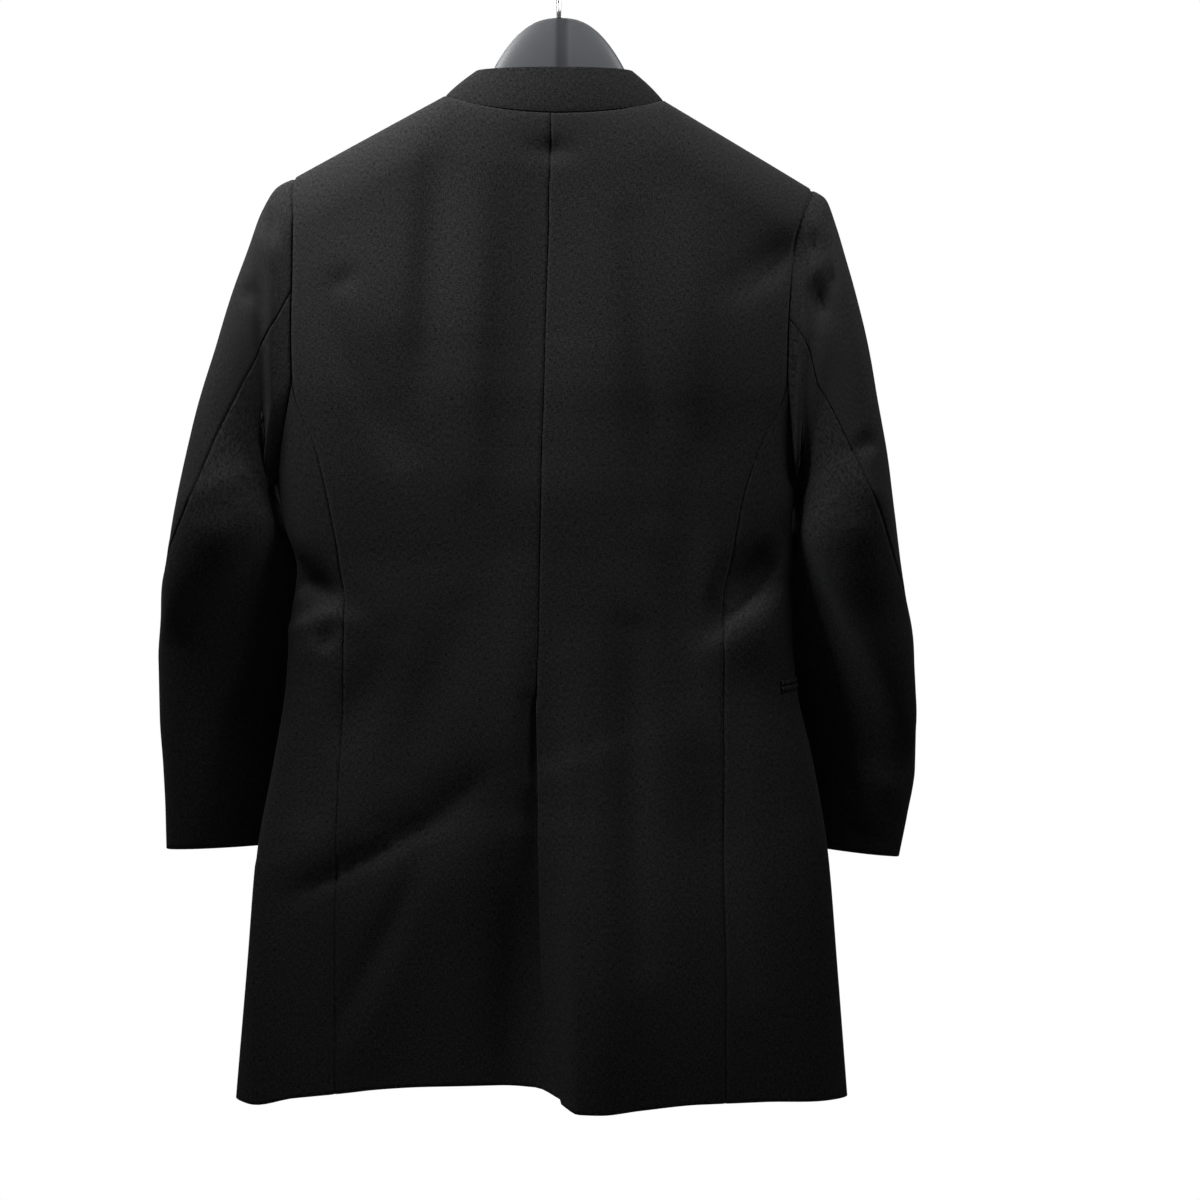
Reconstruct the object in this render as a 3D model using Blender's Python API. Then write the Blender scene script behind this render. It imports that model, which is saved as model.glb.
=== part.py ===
"""A long tailored jacket with a stand collar, hanging on a moulded hanger.

+Z is up, the back of the jacket faces +Y and the wearer's left is +X. The
origin is the point where the hook of the hanger rests on its rail. Sizes are
written in millimetres and turned into metres when a mesh is made.

The whole outer face of the garment is worked out from rings (body), loops
(sleeves) and two ellipses (collar). Pieces that meet at a seam share the
points of that seam, so that one set of normals serves both, and each piece is
then drawn back from the seam by half a gap and given its wall.
"""

import math
from collections import namedtuple

import bmesh
import bpy
from mathutils import Matrix, Vector

MM = 0.001
CLOTH = 1.6                 # wall: wool, lining and what is between them
SEAM_GAP = 0.7              # parting of two pieces at a seam
LAP_GAP = 0.7               # parting of two layers that lie on each other

# Body -----------------------------------------------------------------------
ROUNDNESS = 2.4             # exponent of the flattened body ring
HEM = -1003.0
ARMHOLE_JOIN = -392.0       # where the back and front seams meet the armhole
UNDERARM = -480.0
VENT_TOP = -668.0
SWAY_TOP = -640.0           # the hem's sway dies out here
DROP_TOP = -880.0           # the hem's dips die out here
SHOULDER_ROUND = 55.0       # depth over which the shoulder rounds off
FOLD_END = 0.35             # share of a fold's height that is left at its ends
FOLD_FADE = 2.0             # how fast folds come in from the sides of the body
CENTRE_FRONT = 8.0
LAP = 15.0                  # the front laps this far past its centre line

Ring = namedtuple("Ring", "z left right back front")
RINGS = (
    Ring(-1050, 284, -255, 32, 44),
    Ring(-1009, 281, -252, 32, 44),
    Ring(-900, 271, -243, 34, 43),
    Ring(-800, 263, -235, 37, 42),
    Ring(-720, 249, -222, 38, 41),
    Ring(-655, 239, -208, 37, 40),
    Ring(-600, 235, -204, 36, 39),
    Ring(-552, 229, -204, 37, 40),
    Ring(-520, 238, -204, 39, 42),
    Ring(-480, 246, -207, 42, 45),
    Ring(-430, 255, -216, 44, 47),
    Ring(-392, 261, -225, 46, 48),
    Ring(-340, 266, -232, 46, 49),
    Ring(-213, 268, -240, 44, 48),
    Ring(-140, 268, -240, 42, 46),
)

# Seams of the back: its centre, and the outer edge of each back panel, which is
# the curved back seam up to ARMHOLE_JOIN and the armhole above it. "fore" is
# how much further out the outer edge of the front panel lies.
Seam = namedtuple("Seam", "z centre left right fore")
SEAMS = (
    Seam(-1030, -17, 192, -143, 18),
    Seam(-1000, -2, 192, -143, 18),
    Seam(-965, 5, 192, -143, 18),
    Seam(-895, 14, 192, -144, 18),
    Seam(-755, 17, 191, -144, 18),
    Seam(-668, 18, 188, -143, 18),
    Seam(-598, 17, 186, -143, 17),
    Seam(-546, 16, 190, -150, 14),
    Seam(-493, 15, 199, -159, 9),
    Seam(-449, 14, 209, -173, 4),
    Seam(-392, 12, 229, -197, 0),
    Seam(-345, 11, 230, -198, -6),
    Seam(-283, 9, 229, -204, -7),
    Seam(-252, 8, 229, -211, -4),
    Seam(-221, 8, 231, -221, 0),
    Seam(-211, 7, 231, -221, 0),
    Seam(-150, 6, 231, -221, 0),
)

# Sway of the hem towards the back, and how far it dips, across each half.
Hem = namedtuple("Hem", "x sway dip")
HEM_BACK = (
    Hem(-252, 8, 8),
    Hem(-228, 15, 8),
    Hem(-176, 20, 6),
    Hem(-123, 26, 6),
    Hem(-70, 34, 9),
    Hem(-36, 42, 11),
    Hem(-18, 40, 11),
    Hem(2, 22, 3),
    Hem(22, 6, -4),
    Hem(50, 0, -5),
    Hem(110, 0, -4),
    Hem(157, 4, -2),
    Hem(190, 10, 1),
    Hem(227, 17, 4),
    Hem(262, 18, 11),
    Hem(281, 12, 9),
)
HEM_FRONT = (
    Hem(-252, 8, 8),
    Hem(-190, -4, 5),
    Hem(-110, -9, 6),
    Hem(-10, 0, 9),
    Hem(70, 5, 8),
    Hem(180, -7, 5),
    Hem(281, 12, 9),
)

# Soft folds of the body: a line from one point to another, the width of the
# fold, and its height, which is negative for a trough.
Fold = namedtuple("Fold", "x0 z0 x1 z1 width height")
BACK_FOLDS = (
    Fold(232, -838, 62, -734, 26, -4.0),
    Fold(215, -800, 95, -740, 30, 3.0),
    Fold(236, -575, 186, -612, 20, -6.0),
    Fold(240, -628, 190, -600, 18, 4.0),
    Fold(-148, -582, -196, -546, 22, -6.0),
    Fold(-146, -622, -200, -600, 28, 5.0),
    Fold(52, -820, 40, -1010, 26, -5.0),
    Fold(150, -345, 128, -470, 30, -3.0),
    Fold(-160, -300, -198, -262, 26, -3.0),
)
FRONT_FOLDS = (
    Fold(232, -560, 170, -600, 22, -5.0),
    Fold(-200, -560, -140, -605, 22, -5.0),
    Fold(120, -420, 60, -560, 34, -3.0),
    Fold(-105, -430, -50, -565, 34, -3.0),
    Fold(130, -760, 150, -1000, 34, 4.0),
    Fold(-115, -780, -130, -1000, 34, -4.0),
)

# Neck and collar --------------------------------------------------------------
NECK_LEFT = Vector((100.0, 0.0, -140.0))
NECK_RIGHT = Vector((-92.0, 0.0, -144.0))
SHOULDER_LEFT = Vector((231.0, 0.0, -211.0))
SHOULDER_RIGHT = Vector((-221.0, 0.0, -221.0))
NECK_BACK_Z = -155.0
NECK_BACK_DEPTH = 38.0
NECK_FRONT_DEPTH = 46.0
NECK_BACK_DIP = 11.0
NECK_FRONT_DIP = 72.0
NECK_CURVE = 0.8
COLLAR_BACK_TOP = -121.5
COLLAR_SIDE_TOP = -118.0
COLLAR_FRONT_TOP = -180.0
COLLAR_TOP_HALF = 69.0
COLLAR_TOP_BACK = 34.0
COLLAR_TOP_FRONT = 48.0
COLLAR_FALL = 1.5           # how the top edge falls from the sides
COLLAR_SWELL = 1.5          # how far its middle stands out
COLLAR_WALL = 2.0
COLLAR_ROWS = 3
COLLAR_OPENING = 2.5        # half of the parting at the centre front

# Columns and rows of the panels -----------------------------------------------
NECK_COLUMNS = 4            # columns that end at the neck
SHOULDER_COLUMNS = 4        # columns that end at the shoulder
SIDE_HALF = 4               # columns in half a side panel
UNDERLAY_COLUMNS = 3        # columns of the vent's underlay
LEVELS = (HEM, -985, -950, -910, -865, -820, -770, -718, VENT_TOP, -634, -600,
          -568, -536, -504, -468, -430, ARMHOLE_JOIN)
SIDE_SQUEEZE = -634.0       # side panel rows are squeezed above this level
ARMHOLE_STEPS = 8
ARMHOLE_BUNCHING = 1.6      # rows are closer together near the shoulder

# Sleeves ------------------------------------------------------------------------
# Each loop of a sleeve is a slanting ellipse from its outer line to its inner
# line: x and z of both, how far back its middle lies, how much further back its
# outer line is, its half depth, how much of the armhole's own shape it has lost,
# and the place of the back seam round the loop, in degrees from the outer line.
Loop = namedtuple("Loop", "out_x out_z in_x in_z mid lean deep free seam")
SLEEVE_LEFT = (
    Loop(231, -211, 246, -480, 0, 0, 30, 0.0, 75),
    Loop(246, -219, 257, -482, 0, 0, 33, 0.35, 75),
    Loop(259, -239, 257, -487, -5, 4, 37, 0.65, 74),
    Loop(270, -273, 252, -493, -8, 14, 41, 0.85, 72),
    Loop(285, -315, 246, -498, -13, 20, 45, 1.0, 67),
    Loop(299, -362, 241, -504, -15, 23, 47, 1.0, 61),
    Loop(313, -408, 236, -511, -17, 26, 49, 1.0, 52),
    Loop(324, -455, 231, -521, -17, 28, 51, 1.0, 43),
    Loop(334, -500, 226, -534, -20, 28, 52, 1.0, 27),
    Loop(343, -545, 223, -558, -28, 25, 48, 1.0, 9),
    Loop(350, -590, 222, -593, -38, 23, 43, 1.0, -2),
    Loop(354, -636, 224, -636, -45, 25, 40, 1.0, -6),
    Loop(354, -682, 226, -682, -51, 25, 37, 1.0, -8),
    Loop(352, -728, 228, -728, -56, 24, 35, 1.0, -8),
    Loop(351, -769, 231, -766, -60, 23, 33, 1.0, -8),
    Loop(351, -801, 234, -798, -63, 22, 31, 1.0, -8),
)
SLEEVE_RIGHT = (
    Loop(-221, -221, -207, -480, 0, 0, 30, 0.0, 75),
    Loop(-233, -229, -217, -482, 0, 0, 33, 0.35, 77),
    Loop(-242, -251, -217, -487, -5, 4, 37, 0.65, 79),
    Loop(-249, -278, -212, -493, -8, 14, 41, 0.85, 80),
    Loop(-259, -314, -207, -498, -13, 20, 45, 1.0, 80),
    Loop(-270, -361, -203, -504, -15, 23, 47, 1.0, 79),
    Loop(-278, -408, -199, -511, -17, 26, 49, 1.0, 70),
    Loop(-286, -455, -196, -521, -17, 28, 51, 1.0, 60),
    Loop(-292, -500, -192, -534, -20, 28, 52, 1.0, 47),
    Loop(-299, -545, -190, -558, -28, 25, 48, 1.0, 37),
    Loop(-307, -590, -189, -593, -38, 23, 43, 1.0, 22),
    Loop(-312, -636, -190, -636, -45, 25, 40, 1.0, 9),
    Loop(-316, -687, -191, -684, -51, 25, 37, 1.0, 0),
    Loop(-316, -729, -193, -727, -56, 24, 35, 1.0, -5),
    Loop(-310, -770, -192, -762, -60, 23, 33, 1.0, -8),
    Loop(-303, -808, -190, -796, -63, 22, 31, 1.0, -8),
)
FRONT_SLEEVE_SEAM = 225.0
UNDER_COLUMNS = 10
TOP_COLUMNS = 14

# Soft folds of a sleeve, from one place to another: the row, and the angle
# round the loop from the outer line by way of the back.
SleeveFold = namedtuple("SleeveFold", "row0 angle0 row1 angle1 width height")
SLEEVE_FOLDS = (
    SleeveFold(7.6, 150, 10.2, -10, 0.8, -5.0),
    SleeveFold(8.9, 150, 12.0, 0, 0.8, 4.0),
    SleeveFold(8.4, 250, 11.0, 190, 0.7, -4.0),
)

# Pockets: two jets on each side that run round the side to the front, rising.
# "start" is the side panel's column at which the rear end of the pocket lies.
POCKET_LENGTH = 150.0
POCKET_RISE = 26.0
JET_HEIGHT = 4.6
JET_PARTING = 0.8
JET_WALL = 1.0
JET_LIFT = 0.7
JET_END_CLEAR = 1e-6        # brings the last place of a path past its length
Pocket = namedtuple("Pocket", "name side start z")
POCKETS = (Pocket("left", 1, 3.8, -650.0), Pocket("right", -1, 2.2, -650.0))

# Buttons down the front ----------------------------------------------------------
BUTTON_RADIUS = 10.5
BUTTON_THICK = 3.2
BUTTON_RIM = 1.8
BUTTON_DISH = 0.7
BUTTON_EDGE = 0.6           # bevel of the upper edge
BUTTON_FOOT = 0.8           # inset of the lower face
BUTTON_FOOT_RISE = 1.0
BUTTON_SLOPE = 1.2          # width of the slope from the rim to the dish
BUTTON_SEAT = 5.0           # half of the span over which its seat is measured
BUTTON_LIFT = 0.6
BUTTON_SIDES = 20
BUTTON_COUNT = 5
BUTTON_TOP = -245.0
BUTTON_PITCH = 98.0

# Hanger --------------------------------------------------------------------------
HEAD_TOP = -70.0
HEAD_FALL = 45.5            # how far the head's arch falls over HEAD_HALF
HEAD_HALF = 57.3
HEAD_POWER = 2.4
HANGER_LEFT_END = 208.0
HANGER_RIGHT_END = -200.0
HANGER_CLEAR = 5.0          # cloth, gap and rounding above the arms
HANGER_HOLLOW = 8.0         # how far the arms dip below the neck's side points
HANGER_HOLLOW_REACH = 60.0
HANGER_HALF_DEPTH = 9.5
HANGER_END_DEPTH = 17.0
HANGER_ARM_HEIGHT = 36.0
HANGER_END_HEIGHT = 28.0
HANGER_HEAD_BOTTOM = -196.0
HANGER_HEAD_HALF = 30.0     # half width over which the head keeps its depth
HANGER_HEAD_RUN = 70.0      # run over which it turns into the arms
HANGER_TIP_START = 0.93     # the tips round off beyond this share of an arm
HANGER_TIP_CLOSE = 0.9
HANGER_STATIONS = 28
HANGER_SIDES = 14
HANGER_SQUARENESS = 2.1

HOOK_WIRE = 2.0             # radius of the wire
HOOK_BORE = 20.0            # inner radius of the hook
HOOK_SIDES = 8
HOOK_FOOT = HEAD_TOP + 0.5
HOOK_STEM = ((0.0, HOOK_FOOT), (0.0, -58.0), (1.0, -52.0), (4.5, -46.5))
HOOK_START = -52            # degrees at which the stem runs into the circle
HOOK_END = 200
HOOK_STEP = 14


def read(rows, column, at):
    """Smooth value of a table's column at a place along its first column."""
    places = [row[0] for row in rows]
    values = [getattr(row, column) for row in rows]
    if at <= places[0]:
        return values[0]
    if at >= places[-1]:
        return values[-1]
    last = len(rows) - 1
    index = max(i for i in range(last) if places[i] <= at)
    steps = [places[i + 1] - places[i] for i in range(last)]
    slopes = [(values[i + 1] - values[i]) / steps[i] for i in range(last)]

    def tangent(i):
        """Slope at one of the table's places."""
        if i in (0, last):
            return slopes[min(i, last - 1)]
        before, after = slopes[i - 1], slopes[i]
        if before * after <= 0:
            return 0.0
        return 2.0 * before * after / (before + after)

    step = steps[index]
    t = (at - places[index]) / step
    start = values[index] * (1 + 2 * t) * (1 - t) ** 2 + values[index + 1] * t * t * (3 - 2 * t)
    bend = tangent(index) * t * (1 - t) ** 2 - tangent(index + 1) * t * t * (1 - t)
    return start + step * bend


def blend(a, b, share):
    """Value between a and b."""
    return a + (b - a) * share


def ease(share):
    """0 below 0, 1 above 1, and a smooth rise between them."""
    share = min(1.0, max(0.0, share))
    return share * share * (3 - 2 * share)


# ------------------------------------------------------------------ body surface
def ring_middle(z):
    """Middle and half width of the body ring at a height."""
    left = read(RINGS, "left", z)
    right = read(RINGS, "right", z)
    return (left + right) / 2, (left - right) / 2


def ring_angle(x, z):
    """Angle at which the back half of the ring passes x: 0 left, pi right."""
    middle, half = ring_middle(z)
    reach = max(-1.0, min(1.0, (x - middle) / half))
    return math.acos(math.copysign(abs(reach) ** (ROUNDNESS / 2), reach))


def neck_reach(x):
    """Place across the neck: -1 at its right side point, 1 at its left one."""
    middle = (NECK_LEFT.x + NECK_RIGHT.x) / 2
    return (x - middle) / ((NECK_LEFT.x - NECK_RIGHT.x) / 2)


def top_edge(x, back):
    """Depth and height of the upper edge of the body at x: neck or shoulder."""
    reach = neck_reach(x)
    if abs(reach) >= 1:
        neck, shoulder = (NECK_LEFT, SHOULDER_LEFT) if reach > 0 else (NECK_RIGHT, SHOULDER_RIGHT)
        share = (x - neck.x) / (shoulder.x - neck.x)
        return 0.0, blend(neck.z, shoulder.z, share)
    inner = 1 - reach * reach
    dip = NECK_BACK_DIP if back else NECK_FRONT_DIP
    depth = NECK_BACK_DEPTH if back else -NECK_FRONT_DEPTH
    side = blend(NECK_RIGHT.z, NECK_LEFT.z, (reach + 1) / 2)
    return depth * math.sqrt(inner), side - dip * inner ** NECK_CURVE


def fold_height(folds, x, z):
    """Height of all the soft folds of one half of the body at a place."""
    total = 0.0
    for fold in folds:
        along = Vector((fold.x1 - fold.x0, fold.z1 - fold.z0))
        away = Vector((x - fold.x0, z - fold.z0))
        share = max(0.0, min(1.0, away.dot(along) / along.length_squared))
        distance = (away - along * share).length
        taper = blend(FOLD_END, 1.0, math.sin(math.pi * share))
        total += fold.height * taper * math.exp(-((distance / fold.width) ** 2))
    return total


def body_point(angle, z):
    """Point of the body's outer face; negative angles are on the front."""
    middle, half = ring_middle(z)
    power = 2 / ROUNDNESS
    cosine, sine = math.cos(angle), math.sin(angle)
    x = middle + half * math.copysign(abs(cosine) ** power, cosine)
    back = sine >= 0
    depth = read(RINGS, "back" if back else "front", z)
    y = depth * math.copysign(abs(sine) ** power, sine)
    edge_y, edge_z = top_edge(x, back)
    drop = min(1.0, max(0.0, (edge_z - z) / SHOULDER_ROUND))
    y = blend(edge_y, y, math.sqrt(1 - (1 - drop) ** 2))
    hem = HEM_BACK if back else HEM_FRONT
    sway = ease((SWAY_TOP - z) / (SWAY_TOP - HEM))
    lift = fold_height(BACK_FOLDS if back else FRONT_FOLDS, x, z)
    lift *= min(1.0, abs(sine) * FOLD_FADE)
    y += read(hem, "sway", x) * sway + (lift if back else -lift)
    dip = read(hem, "dip", x) * ease((DROP_TOP - z) / (DROP_TOP - HEM))
    return Vector((x, y, z - dip))


def body_at(x, z, back):
    """Point of the body's outer face over x, on its back or its front."""
    angle = ring_angle(x, z)
    return body_point(angle if back else -angle, z)


def armhole_share(step):
    """How far up a row above ARMHOLE_JOIN lies: 0 at the join, 1 at the top."""
    return 1 - (1 - step / ARMHOLE_STEPS) ** ARMHOLE_BUNCHING


def outer_edge(side, z, back):
    """x of the outer edge of a back or front panel."""
    edge = read(SEAMS, "left" if side > 0 else "right", z)
    return edge if back else edge + side * read(SEAMS, "fore", z)


def panel_row(side, back, xs, level, share):
    """Points of one panel row; share is how far it is above ARMHOLE_JOIN."""
    points = []
    for x in xs:
        z = blend(level, top_edge(x, back)[1], share)
        points.append(body_at(x, z, back))
    return points


def neck_spread(index, count, first, share):
    """Place of a neck column: even low down, spaced by angle at the neck."""
    even = blend(first, 1.0, index / count)
    start = math.asin(first)
    angle = blend(start, math.pi / 2, index / count)
    return blend(even, math.sin(angle), share)


def column_places(side, back, z, share):
    """x of every column of a back or front panel, from the centre outwards."""
    shoulder = SHOULDER_LEFT if side > 0 else SHOULDER_RIGHT
    neck = NECK_LEFT if side > 0 else NECK_RIGHT
    neck_middle = (NECK_LEFT.x + NECK_RIGHT.x) / 2
    centre_top = read(SEAMS, "centre", NECK_BACK_Z) if back else CENTRE_FRONT
    level = blend(min(z, ARMHOLE_JOIN), NECK_BACK_Z, share)
    centre = read(SEAMS, "centre", level) if back else CENTRE_FRONT
    outer = outer_edge(side, z, back)
    neck_share = (neck.x - centre_top) / (shoulder.x - centre_top)
    neck_x = blend(centre, outer, neck_share)
    if back:
        places = [centre]
        inner, steps = centre, NECK_COLUMNS
    else:
        places = [centre - side * LAP, centre + side * LAP]
        inner, steps = centre + side * LAP, NECK_COLUMNS - 1
    first = abs(inner - neck_middle) / abs(neck.x - neck_middle)
    for index in range(1, steps + 1):
        spread = (neck_spread(index, steps, first, share) - first) / (1 - first)
        places.append(blend(inner, neck_x, spread))
    for index in range(1, SHOULDER_COLUMNS + 1):
        places.append(blend(neck_x, outer, index / SHOULDER_COLUMNS))
    return places


def panel_grid(side, back):
    """Outer points of a back or front panel, from the hem up."""
    shoulder = SHOULDER_LEFT if side > 0 else SHOULDER_RIGHT
    rows = []
    for level in LEVELS:
        rows.append(panel_row(side, back, column_places(side, back, level, 0.0), level, 0.0))
    for step in range(1, ARMHOLE_STEPS + 1):
        share = armhole_share(step)
        z = blend(ARMHOLE_JOIN, shoulder.z, share)
        places = column_places(side, back, z, share)
        rows.append(panel_row(side, back, places, ARMHOLE_JOIN, share))
    return rows


def side_angle(side, column, z):
    """Angle of a side panel's column: from the back seam to the front seam."""
    back = column <= SIDE_HALF
    angle = ring_angle(outer_edge(side, z, back), z)
    reach = angle if side > 0 else math.pi - angle
    share = 1 - column / SIDE_HALF
    return reach * share if side > 0 else math.pi - reach * share


def side_grid(side):
    """Outer points of a side panel, from the hem up to the armhole's bend."""
    rows = []
    for level in LEVELS:
        row = []
        for column in range(2 * SIDE_HALF + 1):
            share = (1 - column / SIDE_HALF) ** 2
            rim = blend(UNDERARM, ARMHOLE_JOIN, share)
            z = level
            if level > SIDE_SQUEEZE:
                climb = (level - SIDE_SQUEEZE) / (ARMHOLE_JOIN - SIDE_SQUEEZE)
                z = blend(SIDE_SQUEEZE, rim, climb)
            row.append(body_point(side_angle(side, column, level), z))
        rows.append(row)
    return rows


def armhole_loop(side, backs, fronts, sides):
    """Armhole points, from the shoulder down the back and up the front."""
    first = len(LEVELS) - 1
    down = [row[-1] for row in reversed(backs[first:])]
    under = sides[-1][1:-1]
    climb = [row[-1] for row in fronts[first:]]
    return down + under + climb[:-1]


# --------------------------------------------------------------------- sleeves
def loop_point(loop, degrees):
    """Point of a sleeve loop at an angle from its outer line."""
    angle = math.radians(degrees)
    middle = Vector(((loop.out_x + loop.in_x) / 2, loop.mid, (loop.out_z + loop.in_z) / 2))
    along = Vector((loop.out_x, loop.mid + loop.lean, loop.out_z)) - middle
    return middle + along * math.cos(angle) + Vector((0, loop.deep, 0)) * math.sin(angle)


def sleeve_fold(row, degrees):
    """Height of the sleeve's soft folds at a row and angle."""
    total = 0.0
    for fold in SLEEVE_FOLDS:
        span = fold.angle1 - fold.angle0
        share = (degrees - fold.angle0) / span
        if 0 <= share <= 1:
            middle = blend(fold.row0, fold.row1, share)
            taper = math.sin(math.pi * share)
            total += fold.height * taper * math.exp(-(((row - middle) / fold.width) ** 2))
    return total


def sleeve_angles(loop):
    """Angles of all columns: the under sleeve first, then the top sleeve."""
    under = [blend(loop.seam, FRONT_SLEEVE_SEAM, i / UNDER_COLUMNS) for i in range(UNDER_COLUMNS)]
    end = loop.seam + 360
    top = [blend(FRONT_SLEEVE_SEAM, end, i / TOP_COLUMNS) for i in range(TOP_COLUMNS)]
    return under + top


def sleeve_grid(loops, armhole):
    """Outer points of a whole sleeve, from the armhole down to the cuff."""
    count = len(armhole)
    start = sleeve_angles(loops[0])
    shift = round(loops[0].seam * count / 360)
    rim = [armhole[(column + shift) % count] for column in range(count)]
    own = [rim[c] - loop_point(loops[0], start[c]) for c in range(count)]
    rows = [rim]
    for number, loop in enumerate(loops[1:], 1):
        angles = sleeve_angles(loop)
        middle = loop_point(loop, 0).lerp(loop_point(loop, 180), 0.5)
        row = []
        for column, degrees in enumerate(angles):
            point = loop_point(loop, degrees) + own[column] * (1 - loop.free)
            bulge = sleeve_fold(number, degrees if degrees < 315 else degrees - 360)
            row.append(point + (point - middle).normalized() * bulge)
        rows.append(row)
    return rows


# ---------------------------------------------------------------------- collar
def collar_top(point):
    """Point of the collar's top edge over a point of the neck seam."""
    middle = (NECK_LEFT.x + NECK_RIGHT.x) / 2
    reach = max(-1.0, min(1.0, neck_reach(point.x)))
    back = point.y > 0
    deep = COLLAR_TOP_BACK if back else -COLLAR_TOP_FRONT
    turn = math.sqrt(1 - reach * reach)
    middle_top = COLLAR_BACK_TOP if back else COLLAR_FRONT_TOP
    z = blend(COLLAR_SIDE_TOP, middle_top, turn ** COLLAR_FALL)
    return Vector((middle + COLLAR_TOP_HALF * reach, deep * turn, z))


def collar_grid(neck):
    """Outer points of the collar, from the neck seam up."""
    rows = []
    for index in range(COLLAR_ROWS + 1):
        share = index / COLLAR_ROWS
        swell = COLLAR_SWELL * math.sin(math.pi * share)
        row = []
        for point in neck:
            top = collar_top(point)
            outward = Vector((top.x, top.y, 0)).normalized()
            row.append(point.lerp(top, share) + outward * swell)
        rows.append(row)
    return rows


# ------------------------------------------------------------ walls from points
KEY_SHIFT = 0.1234          # keeps round sizes off the rounding limits
KEY_CELLS = 5               # cells of a key in a millimetre
LEAST_SLANT = 0.25          # limit to how much a slanting row is lengthened


def key_of(point):
    """A key that is the same for two points of a shared seam."""
    return tuple(round(value * KEY_CELLS + KEY_SHIFT) for value in point)


def add_normals(store, grid, closed, flip):
    """Add the face normals of a grid of points to a store of point normals."""
    width = len(grid[0])
    for low, high in zip(grid, grid[1:]):
        for column in range(width if closed else width - 1):
            after = (column + 1) % width
            corners = [low[column], low[after], high[after], high[column]]
            normal = (corners[2] - corners[0]).cross(corners[3] - corners[1])
            if flip:
                normal.negate()
            for corner in corners:
                store[key_of(corner)] = store.get(key_of(corner), Vector()) + normal


def drawn_back(grid, edges, inner_seam=()):
    """The grid with its named edges moved inwards along the surface.

    The lower edge, of a collar or a sleeve head, stands further back, because
    it meets its neighbour at an angle. Places of an inner seam move towards the
    next column.
    """
    result = [[point.copy() for point in row] for row in grid]
    last_row, last_column = len(grid) - 1, len(grid[0]) - 1

    def shift(row, column, down, across, amount=SEAM_GAP / 2):
        """Move one point away from its seam, by the gap square to the seam."""
        away = (grid[row + down][column + across] - grid[row][column]).normalized()
        before = grid[max(0, row - abs(across))][max(0, column - abs(down))]
        after = grid[min(last_row, row + abs(across))][min(last_column, column + abs(down))]
        slant = max(LEAST_SLANT, 1 - away.dot((after - before).normalized()) ** 2)
        result[row][column] += away * amount / math.sqrt(slant)

    for row in range(last_row + 1):
        if "first" in edges:
            shift(row, 0, 0, 1)
        if "last" in edges:
            shift(row, last_column, 0, -1)
    for column in range(last_column + 1):
        if "low" in edges:
            shift(0, column, 1, 0, SEAM_GAP)
        if "high" in edges:
            shift(last_row, column, -1, 0)
    for row, column in inner_seam:
        shift(row, column, 0, 1)
    return result


def wall_mesh(outer, inner, flip=False, cells=None, guide=None):
    """Closed mesh of a wall between two grids; layers that lie on each other
    share a guide grid, so that their faces are split along the same diagonals.
    """
    mesh = bmesh.new()
    rows, width = len(outer), len(outer[0])
    if cells is None:
        cells = {(r, c) for r in range(rows - 1) for c in range(width - 1)}
    made = {}

    def vertex(layer, row, column):
        """The mesh vertex of a grid place, made when it is first asked for."""
        name = (layer, row, column)
        if name not in made:
            grid = inner if layer else outer
            made[name] = mesh.verts.new(grid[row][column] * MM)
        return made[name]

    def face(corners):
        """One face, turned to look outwards."""
        mesh.faces.new(reversed(corners) if flip else corners)

    guide = guide or outer

    def rising(corners):
        """Whether the diagonal from the first corner is the shorter one."""
        a, b, c, d = [guide[row][column] for row, column in corners]
        return (a - c).length <= (b - d).length

    def split(corners, first):
        """Two triangles on four corners."""
        a, b, c, d = corners
        if first:
            face([a, b, c])
            face([a, c, d])
        else:
            face([a, b, d])
            face([b, c, d])

    rim = {}
    for row, column in sorted(cells):
        corners = [(row, column), (row, column + 1), (row + 1, column + 1), (row + 1, column)]
        shorter = rising(corners)
        split([vertex(0, *corner) for corner in corners], shorter)
        split([vertex(1, *corner) for corner in reversed(corners)], not shorter)
        for start, end in zip(corners, corners[1:] + corners[:1]):
            if (end, start) in rim:
                del rim[(end, start)]
            else:
                rim[(start, end)] = True
    for start, end in rim:
        rim_face = [vertex(0, *end), vertex(0, *start), vertex(1, *start), vertex(1, *end)]
        split(rim_face, True)
    return mesh


def add_object(name, mesh, material):
    """A scene object from a finished bmesh."""
    data = bpy.data.meshes.new(name)
    mesh.to_mesh(data)
    mesh.free()
    data.materials.append(material)
    item = bpy.data.objects.new(name, data)
    bpy.context.scene.collection.objects.link(item)
    return item


def add_wall(name, grid, normals, edges, flip, material, wall=CLOTH, sink=None, cells=None,
             inner_seam=()):
    """A cloth piece: the grid is drawn back at its seams and given its wall."""
    moved = drawn_back(grid, edges, inner_seam)
    outer, inner = [], []
    for row, points in enumerate(grid):
        outer_row, inner_row = [], []
        for column, point in enumerate(points):
            normal = normals[key_of(point)].normalized()
            depth = sink(row, column) if sink else 0.0
            outer_row.append(moved[row][column] - normal * depth)
            inner_row.append(moved[row][column] - normal * (depth + wall))
        outer.append(outer_row)
        inner.append(inner_row)
    return add_object(name, wall_mesh(outer, inner, flip, cells, grid), material)


# ------------------------------------------------------------------ garment pieces
def under_lap():
    """How far the lower of two lapped layers is sunk."""
    return CLOTH + LAP_GAP


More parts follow.
